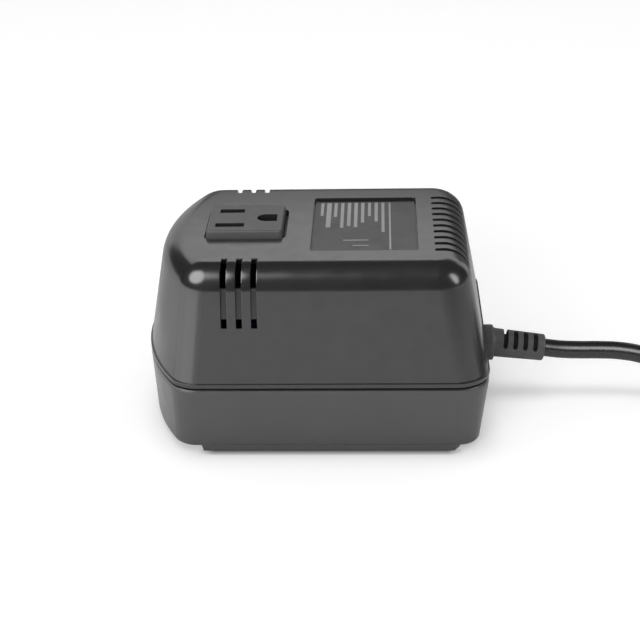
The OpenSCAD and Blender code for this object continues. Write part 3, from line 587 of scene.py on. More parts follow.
def combine(body: Object, other: Object, way: Join) -> Object:
    """Cut one solid from another, add it, or keep what both share, and remove the other.

    Args:
        body: the solid that stays.
        other: the solid that is cut away, added or compared.
        way: which of the three is done.

    Returns:
        The changed body.
    """
    tool = body.modifiers.new("combine", "BOOLEAN")
    tool.operation = way.value
    tool.solver = "MANIFOLD"
    tool.object = other
    depsgraph = bpy.context.evaluated_depsgraph_get()
    changed = bpy.data.meshes.new_from_object(body.evaluated_get(depsgraph))
    body.modifiers.clear()
    spent = (body.data, other.data)
    body.data = changed
    bpy.data.objects.remove(other)
    for mesh in spent:
        bpy.data.meshes.remove(mesh)
    return body


def cut(body: Object, *solids: Solid) -> Object:
    """Cut closed solids, given by their rings, out of a body."""
    return combine(body, lofts("cutter", list(solids)), Join.CUT)


def soften(body: Object, width: float, wanted: Test) -> None:
    """Round off sharp outward edges.

    Args:
        body: the piece.
        width: the rounding's width in millimetres.
        wanted: tells from the middle of an edge, in millimetres, whether it is rounded.
    """
    sharp = 0.6
    shape = bmesh.new()
    shape.from_mesh(body.data)
    bmesh.ops.dissolve_degenerate(shape, dist=0.002 * MM, edges=shape.edges)
    edges = [
        e
        for e in shape.edges
        if len(e.link_faces) == 2
        and e.calc_face_angle_signed() > sharp
        and wanted((e.verts[0].co + e.verts[1].co) / (2 * MM))
    ]
    bmesh.ops.bevel(
        shape, geom=edges, offset=width * MM, segments=2, profile=0.5, affect="EDGES", clamp_overlap=True
    )
    shape.to_mesh(body.data)
    shape.free()


def smooth(piece: Object, sharp: float = 35.0) -> Object:
    """Shade a piece smooth, with edges above an angle in degrees kept sharp and large faces kept flat.

    Args:
        piece: the piece.
        sharp: that angle.

    Returns:
        The same piece.
    """
    piece.data.shade_smooth()
    piece.data.set_sharp_from_angle(angle=math.radians(sharp))
    weighted = piece.modifiers.new("even_normals", "WEIGHTED_NORMAL")
    weighted.keep_sharp = True
    weighted.weight = 80
    return piece


# Case


@dataclass(frozen=True)
class CaseForm:
    """Outline and levels that cover and tray share, in millimetres and degrees."""

    length: float = 115.0
    width: float = 92.0
    height: float = 63.5
    seam: float = 24.4
    seam_gap: float = 0.8
    wall: float = 2.2
    cover_draft: float = 10.5
    tray_draft: float = 8.0
    tray_end_draft: float = 3.0
    top_round: float = 9.0
    cord_corner: float = 11.6
    socket_corner: float = 10.6
    cord_corner_tapers: float = 0.2
    socket_corner_tapers: float = 0.08
    bow_radius: float = 80.0
    rim_height: float = 1.6
    rim_step: float = 0.55
    rim_blend: float = 0.3
    tongue_height: float = 2.8
    tongue_wall: float = 1.2
    clear: float = 0.25
    corner_steps: int = 20
    bow_steps: int = 40
    posts: tuple[Flat, ...] = ((45.0, -30.5), (45.0, 30.5), (-41.0, -30.5), (-41.0, 30.5))

    @property
    def tray_top(self) -> float:
        """Height of the tray's upper edge."""
        return self.seam - self.seam_gap / 2

    @property
    def tongue_top(self) -> float:
        """Height of the upper edge of the tray's tongue."""
        return self.tray_top + self.tongue_height

    @property
    def rim_low(self) -> float:
        """Height of the cover's lower edge."""
        return self.seam + self.seam_gap / 2

    @property
    def rim_top(self) -> float:
        """Height of the rim's upper edge."""
        return self.rim_low + self.rim_height

    @property
    def wall_low(self) -> float:
        """Height at which the cover's plain wall starts."""
        return self.rim_top + self.rim_blend

    @property
    def edge_level(self) -> float:
        """Height of the middle of the rounded top edge."""
        return self.height - self.top_round

    @property
    def bend_level(self) -> float:
        """Height at which the wall goes over into the rounded edge."""
        return self.edge_level + self.top_round * math.sin(math.radians(self.cover_draft))

    @property
    def flat_inset(self) -> float:
        """Inset of the flat top from the seam's outline."""
        return self.cover_inset(self.bend_level) + self.top_round * math.cos(math.radians(self.cover_draft))

    def cover_inset(self, level: float) -> float:
        """Inset of the cover's wall at a height."""
        return self.rim_step + (level - self.wall_low) * math.tan(math.radians(self.cover_draft))

    def tray_inset(self, level: float) -> float:
        """Inset of the tray's wall at a height."""
        return (self.tray_top - level) * math.tan(math.radians(self.tray_draft))

    def outer_inset(self, level: float) -> float:
        """Inset of the cover's outside at a height, over wall and rounded edge.

        Args:
            level: that height.

        Returns:
            The inset.
        """
        if level <= self.bend_level:
            return self.cover_inset(level)
        above = min(level - self.edge_level, self.top_round)
        return self.flat_inset - math.sqrt(self.top_round**2 - above**2)

    def plan(self, inset: float, tight: float, depth: float) -> Outline:
        """Give the case's outline at one height.

        Args:
            inset: how far it is drawn in from the seam's outline.
            tight: how much smaller its corners are.
            depth: how far it is below the tray's upper edge, where the bowed end slopes less.

        Returns:
            The outline's points, anticlockwise.
        """
        half_l = self.length / 2 - inset
        half_w = self.width / 2 - inset
        cord_r = self.cord_corner - tight - self.cord_corner_tapers * depth
        socket_r = self.socket_corner - tight - self.socket_corner_tapers * depth
        steeper = math.tan(math.radians(self.tray_draft)) - math.tan(math.radians(self.tray_end_draft))
        bow_r = self.bow_radius - inset + depth * steeper
        bow_x = self.bow_radius - self.length / 2
        spread = math.degrees(math.asin((half_w - socket_r) / (bow_r - socket_r)))
        corner_x = bow_x - (bow_r - socket_r) * math.cos(math.radians(spread))
        steps = self.corner_steps
        bow = arc(bow_x, 0.0, bow_r, 180 - spread, 180 + spread, self.bow_steps)
        return (
            arc(half_l - cord_r, cord_r - half_w, cord_r, -90, 0, steps)
            + arc(half_l - cord_r, half_w - cord_r, cord_r, 0, 90, steps)
            + arc(corner_x, half_w - socket_r, socket_r, 90, 180 - spread, steps)
            + bow[1:-1]
            + arc(corner_x, socket_r - half_w, socket_r, 180 + spread, 270, steps)
        )

    def ring(self, level: float, inset: float, tight: float) -> Ring:
        """Give the outline as a ring at a height."""
        return raised(self.plan(inset, tight, max(0.0, self.tray_top - level)), 0.0, 0.0, level)

    def edge_rings(self, radius: float, steps: int) -> Solid:
        """Give the rings of the rounded top edge.

        Args:
            radius: their radius about the edge's own middle.
            steps: steps of the rounding.

        Returns:
            The rings, from the wall up to the flat top.
        """
        bend = self.cover_inset(self.bend_level)
        rings = []
        for i in range(steps + 1):
            turn = math.radians(self.cover_draft + (90 - self.cover_draft) * i / steps)
            inset = self.flat_inset - radius * math.cos(turn)
            rings.append(self.ring(self.edge_level + radius * math.sin(turn), inset, inset - bend))
        return rings


@dataclass
class TopCover:
    """The case's upper half: rim, drafted wall, rolled edge, vents, socket opening and plate recess."""

    form: CaseForm
    vent_width: float = 1.8
    vent_pitch: float = 4.85
    vent_count: int = 3
    vent_x: float = -23.1
    vent_low: float = 44.7
    vent_open: float = 2.4
    vent_depth: float = 0.9
    vent_lean: float = 3.0
    vent_over: float = 1.2
    vent_sill: float = 0.7
    vent_reach: float = 1.6
    vent_upper: float = 0.25
    vent_overlap: float = 0.6
    vent_soft: float = 0.28
    grille_count: int = 10
    grille_pitch: float = 5.18
    grille_x: float = 39.9
    grille_open: float = 7.0
    socket_x: float = -22.8
    opening: Flat = (27.0, 26.7)
    opening_r: float = 2.6
    opening_flare: float = 0.2
    plate_x: float = 16.8
    recess: Flat = (35.0, 47.2)
    recess_r: float = 1.0
    recess_depth: float = 1.3
    recess_flare: float = 0.15
    column_d: float = 7.4
    column_under: float = 2.75
    rim_lower: tuple[Flat, ...] = ((0.0, 0.35), (0.1, 0.1), (0.35, 0.0))
    rim_upper: tuple[Point, ...] = ((-0.3, 0.0, 0.0), (-0.09, 0.09, 0.09), (0.0, 0.3, 0.2))
    edge_steps: int = 26
    inner_steps: int = 10

    def shell(self) -> Object:
        """Make the closed shell: inside from the ceiling down, round the rim, and outside up to the top.

        Returns:
            The shell.
        """
        f = self.form
        low = f.rim_low
        top = f.rim_top
        over = f.tongue_top + 1
        rim = [
            f.ring(over, f.cover_inset(over) + f.wall, f.wall),
            f.ring(f.tongue_top + 0.4, f.wall, f.wall),
            f.ring(low, f.wall, f.wall),
            *[f.ring(low + up, inset, inset) for up, inset in self.rim_lower],
            *[f.ring(top + up, inset, tight) for up, inset, tight in self.rim_upper],
            f.ring(top + 0.06, f.rim_step - 0.05, 0.1),
            f.ring(f.wall_low, f.rim_step, 0.0),
        ]
        inside = f.edge_rings(f.top_round - f.wall, self.inner_steps)
        return loft("cover", inside[::-1] + rim + f.edge_rings(f.top_round, self.edge_steps))

    def flared(self, size: Flat, corner: float, x: float, depth: float, flare: float) -> Solid:
        """Give a cutter for an opening in the flat top whose upper edge is rounded.

        Args:
            size: the opening's length and width.
            corner: its corner radius.
            x: its place along the case.
            depth: how far it goes down from the top.
            flare: the radius of the rounded edge.

        Returns:
            The cutter's rings.
        """
        top = self.form.height
        steps = [(0.0, top - depth)]
        steps += [(flare * (1 - c), top - flare + flare * s) for c, s in quarter(5)]
        steps += [(flare, top + 3)]
        return [
            raised(round_rect(size[0] + 2 * out, size[1] + 2 * out, corner + out), x, 0.0, z)
            for out, z in steps
        ]

    def vent_cutters(self) -> list[list[Solid]]:
        """Give the side vents' cutters: lower openings, openings over the edge, and grooves between.

        Returns:
            The cutters, by kind.
        """
        f = self.form
        low = self.vent_low
        high = low + self.vent_open
        over = f.edge_level + self.vent_upper * f.top_round
        end = f.width / 2 - f.flat_inset - self.vent_over
        ramp = end - f.wall / 2
        wall = f.width / 2 - f.cover_inset(low)
        deep = f.width / 2 - f.cover_inset(high) - self.vent_reach * f.wall
        foot = wall - self.vent_depth
        groove_top = over + self.vent_overlap
        head = foot - (groove_top - low) * math.tan(math.radians(f.cover_draft + self.vent_lean))
        far = f.width
        above = f.height + 1
        sill = (deep, low - self.vent_sill * (wall - deep))
        groove_sill = (foot, low - self.vent_sill * self.vent_depth)
        ceiling = f.height - f.wall
        shapes = (
            (sill, (wall, low), (far, low), (far, high), (deep, high)),
            ((ramp, over), (far, over), (far, above), (end, above), (end, f.height), (ramp, ceiling)),
            (groove_sill, (wall, low), (far, low), (far, groove_top), (head, groove_top)),
        )
        middle = (self.vent_count - 1) / 2
        places = [self.vent_x + (i - middle) * self.vent_pitch for i in range(self.vent_count)]
        half = self.vent_width / 2
        return [
            [
                [[(px, side * y, z) for y, z in shape] for px in (x - half, x + half)]
                for x in places
                for side in (-1, 1)
            ]
            for shape in shapes
        ]

    def grille_boxes(self, length: float, height: float) -> list[Solid]:
        """Give the grille's slots as blocks.

        Args:
            length: how far they reach along the case.
            height: how far they reach up.

        Returns:
            Each block's rings.
        """
        x = self.grille_x
        half = self.vent_width / 2
        rows = [(i - (self.grille_count - 1) / 2) * self.grille_pitch for i in range(self.grille_count)]
        low = self.vent_low
        return [box((x, y - half, low), (x + length, y + half, low + height)) for y in rows]

    def grille_grooves(self) -> Object:
        """Make the grille's grooves, which follow the rounded edge and the end wall.

        Returns:
            The grooves as one cutter.
        """
        f = self.form
        low = f.wall_low
        depth = self.vent_depth
        floor = [f.ring(low, f.cover_inset(low) + depth, depth)]
        floor += f.edge_rings(f.top_round - depth, self.edge_steps)
        return cut(lofts("grille", self.grille_boxes(f.length / 2, f.height)), floor)

    def on_vent_edge(self, p: Vector) -> bool:
        """Tell whether a point lies where a vent cuts the outside.

        Args:
            p: the point, in millimetres.

        Returns:
            Whether it does.
        """
        f = self.form
        near = 0.06
        if p.z < self.vent_low - near:
            return False
        aside = 0.3
        inset = f.outer_inset(min(p.z, f.height))
        on_side = abs(abs(p.y) - (f.width / 2 - inset)) < near
        on_end = abs(p.x - (f.length / 2 - inset)) < near
        on_top = p.z > f.height - 0.01
        vents = ((self.vent_count - 1) / 2 + aside) * self.vent_pitch
        slots = ((self.grille_count - 1) / 2 + aside) * self.grille_pitch
        by_vent = abs(p.x - self.vent_x) < vents and abs(p.y) > f.width / 4
        by_grille = p.x > self.grille_x - near and abs(p.y) < slots
        return (by_vent and (on_side or on_top)) or (by_grille and (on_end or on_top))

    def columns(self) -> Object:
        """Make the screw columns, ended by the cover's inside and the tray's tongue.

        Returns:
            The columns as one object.
        """
        f = self.form
        low = f.tray_top - self.column_under
        radius = self.column_d / 2
        within = f.wall + f.clear + f.tongue_wall + f.clear
        over = f.tongue_top + 2
        room = [
            f.ring(low - 1, within, f.wall),
            f.ring(f.tongue_top + f.clear, within, f.wall),
            f.ring(over, f.cover_inset(over) + f.wall / 2, f.wall / 2),
        ]
        room += f.edge_rings(f.top_round - f.wall / 2, self.inner_steps)
        rods = lofts("columns", pillars(f.posts, ((radius, low), (radius, f.height))))
        return combine(rods, loft("room", room), Join.KEEP)

    def build(self) -> Object:
        """Make the cover with its columns and openings.

        Returns:
            The cover.
        """
        f = self.form
        made = self.shell()
        combine(made, self.columns(), Join.ADD)
        for group in self.vent_cutters():
            cut(made, *group)
        combine(made, self.grille_grooves(), Join.CUT)
        cut(made, *self.grille_boxes(self.grille_open, f.height))
        cut(made, *self.grille_boxes(f.length / 2, self.vent_open))
        soften(made, self.vent_soft, self.on_vent_edge)
        cut(made, self.flared(self.opening, self.opening_r, self.socket_x, f.wall + 1, self.opening_flare))
        cut(made, self.flared(self.recess, self.recess_r, self.plate_x, self.recess_depth, self.recess_flare))
        return smooth(made)


@dataclass
class BaseTray:
    """The case's lower half: drafted wall with soft edges, tongue, screw posts, foot rails and lead notch."""

    form: CaseForm
    foot_height: float = 1.7
    foot_width: float = 6.0
    foot_inset: float = 0.3
    foot_slant: float = 0.3
    foot_from: float = -37.2
    foot_to: float = 47.8
    floor: float = 2.4
    low_round: float = 1.6
    lip_deep: float = 1.9
    lip_lean: float = 17.0
    lip_steps: int = 8
    lip_rise: float = 0.2
    lip_round: Flat = (0.45, 0.3)
    post_d: float = 9.2
    well_d: float = 6.8
    well_flare: float = 0.3
    shank_d: float = 3.5
    shank_top: float = 40.0
    post_top: float = 21.0
    post_seat: float = 3.0
    post_foot: float = 0.4
    notch_d: float = 8.6
    notch_top: float = 30.0
    notch_inside: float = 6.0
    notch_long: float = 10.0
    cord_level: float = 18.6

    def shell(self) -> Object:
        """Make the closed shell from under the floor, up the outside, over the tongue and down the inside.

        Returns:
            The shell.
        """
        f = self.form
        foot = self.foot_height
        r = self.low_round
        low = f.tray_inset(foot + r)
        top = f.tray_top
        rings = [f.ring(foot + r * (1 - c), low + r * (1 - s), r * (1 - s)) for c, s in quarter(6)]
        level = top - self.lip_deep
        inset = f.tray_inset(level)
        rings.append(f.ring(level, inset, 0.0))
        for i in range(self.lip_steps):
            lean = self.lip_lean * (i + 0.5) / self.lip_steps - f.tray_draft
            inset += self.lip_rise * math.tan(math.radians(lean))
            level += self.lip_rise
            rings.append(f.ring(level, inset, 0.0))
        for c, s in quarter(5)[1:]:
            out = self.lip_round[0] * (1 - c)
            rings.append(f.ring(level + self.lip_round[1] * s, inset + out, out))
        inner = f.wall + f.clear
        tongue = inner + f.tongue_wall
        below = top - f.tongue_height
        step = below - f.tongue_wall
        deep = foot + self.floor
        rings += [
            f.ring(top, inner, f.wall),
            f.ring(f.tongue_top, inner, f.wall),
            f.ring(f.tongue_top, tongue, f.wall),
            f.ring(below, tongue, f.wall),
            f.ring(step, f.tray_inset(step) + f.wall, f.wall),
            f.ring(deep + 1, f.tray_inset(deep + 1) + f.wall, f.wall),
            f.ring(deep, f.tray_inset(deep) + f.wall + 1, f.wall + 1),
        ]
        return loft("tray", rings)

    def rails(self) -> list[Solid]:
        """Give the two foot rails, slanted at their cord end.

        Returns:
            Each rail's rings.
        """
        foot = self.foot_height
        head = foot + self.floor / 2
        front = self.form.tray_inset(foot) + self.foot_inset - self.form.width / 2
        profile = [
            (self.foot_from + self.foot_slant * foot, 0.0),
            (self.foot_to - foot, 0.0),
            (self.foot_to, foot),
            (self.foot_to, head),
            (self.foot_from, head),
            (self.foot_from, foot),
        ]
        spans = [(side * front, side * (front + self.foot_width)) for side in (1, -1)]
        return [[[(x, y, z) for x, z in profile] for y in span] for span in spans]

    def build(self) -> Object:
        """Make the tray with rails, posts, wells and notch.

        Returns:
            The tray.
        """
        f = self.form
        foot = self.foot_height
        made = self.shell()
        combine(made, lofts("rails", self.rails()), Join.ADD)
        post = self.post_d / 2
        posts = pillars(f.posts, ((post, foot + self.post_foot), (post, self.post_top)))
        combine(made, lofts("posts", posts), Join.ADD)
        seat = self.post_top - self.post_seat
        well = self.well_d / 2
        wide = well + self.well_flare
        steps = ((wide, -1.0), (wide, foot), (well, foot + self.well_flare), (well, seat))
        cut(made, *pillars(f.posts, steps))
        shank = self.shank_d / 2
        cut(made, *pillars(f.posts, ((shank, seat - 1), (shank, self.shank_top))))
        half = self.notch_d / 2
        top = self.notch_top
        sides = [(-half, top), *arc(0.0, self.cord_level, half, 180, 360, 24), (half, top)]
        start = f.length / 2 - self.notch_inside
        cut(made, [[(x, y, z) for y, z in sides] for x in (start, start + self.notch_long)])
        return smooth(made)


@dataclass
class CaseAssembly:
    """Cover and tray on their shared form."""

    form: CaseForm = CaseForm()

    def build(self, paints: Paints) -> None:
        """Make and place both halves."""
        paints.settle(TopCover(self.form).build(), Slot.CASE, "top_cover")
        # The tray's material carries painted light: a base colour raised above the cover's.
        paints.settle(BaseTray(self.form).build(), Slot.CASE, "base_tray", finish=TRAY_PAINTED_LIGHT)


@dataclass
class SocketAssembly:
    """The raised socket face with its two blade slots and earth hole, on a flanged body."""

    x: float = -22.8
    face_x: float = -23.1
    top: float = 65.8
    foot: float = 63.5
    ceiling: float = 61.3
    length: float = 25.0
    width: float = 23.7
    draft: float = 10.5
    corner: float = 1.6
    edge: float = 0.7
    flange: Flat = (30.0, 29.7)
    flange_low: float = 59.3
    body: Flat = (23.6, 21.7)
    body_low: float = 46.7
    blade_x: float = -28.2
    blade_pitch: float = 12.7
    live_slot: float = 8.2
    neutral_slot: float = 9.5
    slot_width: float = 3.0
    slot_corner: float = 0.25
    earth_x: float = -16.3
    earth_width: float = 6.0
    earth_flat: float = 3.6
    earth_corner: float = 0.5
    face_low: float = 60.5
    cavity: Flat = (9.4, 4.6)
    earth_cavity: float = 7.6
    mouth: float = 0.22

    def level(self, size: Flat, z: float, x: float, drawn: float = 0.0) -> Ring:
        """Give the outline of a size at a height and a place, drawn in by an amount."""
        outline = round_rect(size[0] - 2 * drawn, size[1] - 2 * drawn, self.corner - drawn, 8)
        return raised(outline, x, 0.0, z)

    def solid(self) -> Object:
        """Make the body, the flange and the sloped face with its rounded edge.

        Returns:
            The solid, without its openings.
        """
        slope = math.tan(math.radians(self.draft))
        spread = 2 * (self.top - self.foot) * slope
        wide = (self.length + spread, self.width + spread)
        rings = [self.level(self.body, z, self.x) for z in (self.body_low, self.flange_low)]
        rings += [self.level(self.flange, z, self.x) for z in (self.flange_low, self.ceiling)]
        rings += [self.level(wide, z, self.face_x) for z in (self.ceiling, self.foot)]
        steps = 6
        for i in range(steps + 1):
            turn = math.radians(self.draft + (90 - self.draft) * i / steps)
            z = self.top - self.edge * (1 - math.sin(turn))
            drawn = (self.top - self.edge - self.foot) * slope + self.edge * (1 - math.cos(turn))
            rings.append(self.level(wide, z, self.face_x, drawn))
        return loft("socket_face", rings)

    def mouthed(self, outline: Callable[[float], Outline], x: float, y: float) -> Solid:
        """Give a cutter through the face with a slightly flared mouth.

        Args:
            outline: gives the hole's outline, grown by an amount.
            x: the hole's place along the case.
            y: the hole's place across the case.

        Returns:
            The cutter's rings.
        """
        steps = (
            (0.0, self.face_low - 0.5),
            (0.0, self.top - self.mouth),
            (0.35 * self.mouth, self.top - 0.3 * self.mouth),
            (self.mouth, self.top),
            (self.mouth, self.top + 1),
        )
        return [raised(outline(grown), x, y, z) for grown, z in steps]

    def earth_outline(self, grown: float) -> Outline:
        """Give the earth hole: round towards the blades, flat on the far side.

        Args:
            grown: how much larger it is on all sides.

        Returns:
            The outline's points.
        """
        r = self.earth_width / 2 + grown
        soft = self.earth_corner
        x = self.earth_flat + grown - soft
        corners = arc(x, soft - r, soft, 270, 360, 5) + arc(x, r - soft, soft, 0, 90, 5)
        return arc(0.0, 0.0, r, 90, 270, 24) + corners

    def slot_outline(self, length: float) -> Callable[[float], Outline]:
        """Give a maker of a blade slot's outline."""
        width = self.slot_width
        return lambda grown: round_rect(length + 2 * grown, width + 2 * grown, self.slot_corner + grown, 4)

    def inside(self, p: Vector) -> bool:
        """Tell whether a point lies in an opening, below the face, where shade is painted."""
        central = abs(p.x - self.face_x) < self.length / 2 - 1 and abs(p.y) < self.width / 2 - 1
        return central and p.z < self.top - self.mouth / 2

    def on_side(self, p: Vector) -> bool:
        """Tell whether a point lies on the raised part's sloped sides, where light is painted."""
        outside = abs(p.x - self.face_x) > self.length / 2 - 0.2 or abs(p.y) > self.width / 2 - 0.2
        return outside and self.ceiling < p.z < self.top - 0.25 * self.edge

    def build(self, paints: Paints) -> None:
        """Make, cut, dress and place the socket.

        Args:
            paints: the finishes to dress it in.
        """
        made = self.solid()
        half = self.blade_pitch / 2
        slots = [
            self.mouthed(self.slot_outline(length), self.blade_x, y)
            for length, y in ((self.live_slot, half), (self.neutral_slot, -half))
        ]
        cut(made, *slots)
        cut(made, self.mouthed(self.earth_outline, self.earth_x, 0.0))
        under = self.body_low - 1
        x = self.cavity[0] / 2
        y = self.cavity[1] / 2
        rooms = [
            box((self.blade_x - x, middle - y, under), (self.blade_x + x, middle + y, self.face_low))
            for middle in (-half, half)
        ]
        cut(made, *rooms)
        tube = self.earth_cavity / 2
        cut(made, *pillars(((self.earth_x, 0.0),), ((tube, under), (tube, self.face_low))))
        paints.settle(smooth(made), Slot.SOCKET, "socket_insert")
        # The sloped sides get painted light, and the faces inside the openings painted shade.
        paints.part(made, SOCKET_SIDE_PAINTED_LIGHT, self.on_side)
        paints.part(made, SOCKET_PAINTED_SHADE, self.inside)


@dataclass
class RatingPlate:
    """The thin plate in the recess, with plain printed rules."""

    x: float = 16.8
    length: float = 34.5
    width: float = 46.7
    low: float = 62.2
    thick: float = 0.4
    corner: float = 0.75
    bevel: float = 0.08
    ink: float = 0.02
    margin: float = 2.2
    first_rule: float = 2.55
    rule_pitch: float = 2.32
    rules: tuple[Flat, ...] = (
        (12.0, 1.0),
        (22.5, 1.6),
        (13.0, 1.1),
        (23.0, 1.1),
        (21.5, 1.2),
        (22.5, 1.2),
        (18.5, 1.1),
        (12.5, 1.0),
        (17.5, 1.1),
        (27.0, 1.0),
        (42.3, 0.6),
    )
    cross_rules: tuple[Point, ...] = ((10.2, 18.6, -12.8), (13.4, 18.6, -17.4))
    cross_half: float = 0.35

    def lines(self, top: float) -> list[Solid]:
        """Give the printed rules as thin strips on the plate.

        Args:
            top: height of the plate's face.

        Returns:
            Each strip's rings.
        """
        rear = self.width / 2 - self.margin
        left = self.x - self.length / 2
        high = top + self.ink
        strips = []
        for i, (long, wide) in enumerate(self.rules):
            x = left + self.first_rule + i * self.rule_pitch
            strips.append(box((x - wide / 2, rear - long, top), (x + wide / 2, rear, high)))
        for start, stop, y in self.cross_rules:
            low = (left + start, y - self.cross_half, top)
            strips.append(box(low, (left + stop, y + self.cross_half, high)))
        return strips

    def build(self, paints: Paints) -> None:
        """Make the plate and its rules, dress and place them.

        Args:
            paints: the finishes to dress them in.
        """
        top = self.low + self.thick
        steps = ((0.0, self.low), (0.0, top - self.bevel), (2 * self.bevel, top))
        rings = [
            raised(round_rect(self.length - less, self.width - less, self.corner), self.x, 0.0, z)
            for less, z in steps
        ]
        paints.settle(smooth(loft("plate", rings)), Slot.PLATE, "rating_plate")
        paints.settle(lofts("plate_rules", self.lines(top)), Slot.PLATE, finish=PRINT)


# Lead


@dataclass
class StrainRelief:
    """The moulded strain relief: inner block, flange, neck and a tapering tail with slots."""

    level: float = 18.6
    tilt: float = 7.0
    inner_x: float = 51.54
    inner_wide: float = 11.6
    inner_thick: float = 2.7
    inner_corner: float = 1.5
    bevel: float = 0.3
    core_d: float = 8.4
    flange_x: float = 57.6
    flange_d: float = 12.4
    flange_thick: float = 3.4
    flange_round: float = 0.7
    neck_collar: float = 0.25
    neck_x: float = 61.0
    neck_d: float = 10.0
    neck_long: float = 3.2
    tail_long: float = 17.7
    tip_d: float = 9.2
    tip_round: float = 0.8
    tip_drawn: float = 0.75
    tail_core_d: float = 6.5
    slots: int = 4
    slot_wide: float = 1.35
    slot_soft: float = 0.16
    rib_wide: float = 2.1
    webs: Flat = (40.0, 220.0)
    web_half: float = 52.0
    around: int = 160
    fine: float = 0.11

    def tail_radius(self, along: float) -> float:
        """Radius of the tail's outside at a distance from the neck."""
        return (self.neck_d + (self.tip_d - self.neck_d) * along / self.tail_long) / 2

    def radius(self, along: float, turn: float) -> float:
        """Radius of the tail at a distance from the neck and an angle.

        Args:
            along: distance from the neck's start.
            turn: angle about the tail, 0 to the back and 90 upwards.

        Returns:
            The radius, less where a slot is.
        """
        outer = self.tail_radius(along)
        past = (along - self.tail_long + self.tip_round) / self.tip_round
        if past > 0:
            return outer - self.tip_drawn * (1 - math.sqrt(max(0.0, 1 - past**2)))
        deep = 0.0
        for i in range(self.slots):
            middle = self.neck_long + self.slot_wide / 2 + i * (self.slot_wide + self.rib_wide)
            webs = self.webs if i else self.webs[1:]
            within = min(abs((turn - web + 180) % 360 - 180) for web in webs)
            into_web = max(0.0, math.radians(self.web_half - within) * outer)
            apart = math.hypot(abs(along - middle), into_web)
            edge = (self.slot_wide / 2 - apart) / self.slot_soft
            deep = max(deep, min(1.0, max(0.0, edge + 0.5)))
        shape = deep * deep * (3 - 2 * deep)
        return outer - shape * (outer - self.tail_core_d / 2)

    def ring(self, x: float, radius: float) -> Ring:
        """Give an upright round ring."""
        return [(x, y, z + self.level) for y, z in circle(radius, self.around)]

    def block(self, x: float, wide: float) -> Ring:
        """Give an upright square ring with round corners, its points spread as on a round ring.

        Args:
            x: its place along the case.
            wide: its width.

        Returns:
            The ring.
        """
        half = wide / 2
        soft = self.inner_corner
        points = []
        for y, z in circle(1.0, self.around):
            far = half / max(abs(y), abs(z))
            cy = min(max(y * far, soft - half), half - soft)
            cz = min(max(z * far, soft - half), half - soft)
            dy = y * far - cy
            dz = z * far - cz
            size = math.hypot(dy, dz) or 1.0
            scale = soft / size if size > soft else 1.0
            points.append((x, cy + dy * scale, cz + dz * scale + self.level))
        return points

    def tail_ring(self, along: float) -> Ring:
        """Give a ring of the drooping tail.

        Args:
            along: its distance from the neck's start.

        Returns:
            The ring.
        """
        lean = math.radians(self.tilt)
        cx = self.neck_x + along * math.cos(lean)
        cz = self.level - along * math.sin(lean)
        ring = []
        for i in range(self.around):
            turn = 360.0 * i / self.around
            r = self.radius(along, turn)
            y = r * math.cos(math.radians(turn))
            up = r * math.sin(math.radians(turn))
            ring.append((cx + up * math.sin(lean), y, cz + up * math.cos(lean)))
        return ring

    def in_slot(self, p: Vector) -> bool:
        """Tell whether a point lies deep in one of the tail's slots, where shade is painted.

        Args:
            p: the point, in millimetres.

        Returns:
            Whether it does.
        """
        lean = math.radians(self.tilt)
        axis = Vector((math.cos(lean), 0.0, -math.sin(lean)))
        out = p - Vector((self.neck_x, 0.0, self.level))
        along = out.dot(axis)
        deep = (out - along * axis).length < self.tail_radius(along) - 0.4
        return deep and self.neck_long - 0.3 < along < self.tail_long - 1

    def build(self, paints: Paints) -> None:
        """Make, dress and place the strain relief.

        Args:
            paints: the finishes to dress it in.
        """
        x = self.inner_x
        far = x + self.inner_thick
        start = self.flange_x
        end = start + self.flange_thick
        wide = self.inner_wide
        narrow = wide - 2 * self.bevel
        blocks = ((x, narrow), (x + self.bevel, wide), (far - self.bevel, wide), (far, narrow))
        flange = self.flange_d / 2
        soft = self.flange_round
        rounds = [(far, self.core_d / 2), (start, self.core_d / 2)]
        rounds += [(start, flange - self.bevel), (start + self.bevel, flange)]
        rounds += [(end - soft * (1 - s), flange - soft * (1 - c)) for c, s in quarter(5)]
        rounds += [(end, self.neck_d / 2 + self.neck_collar)]
        steps = int(self.tail_long / self.fine)
        first = self.bevel
        tail = [first + (self.tail_long - first) * i / steps for i in range(steps + 1)]
        rings = [self.block(*b) for b in blocks] + [self.ring(*r) for r in rounds]
        rings += [self.tail_ring(along) for along in tail]
        made = smooth(loft("strain_relief_tail", rings), 50.0)
        paints.settle(made, Slot.RELIEF, "strain_relief")
        # The faces deep in the slots get painted shade.
        paints.part(made, RELIEF_SLOT_PAINTED_SHADE, self.in_slot)


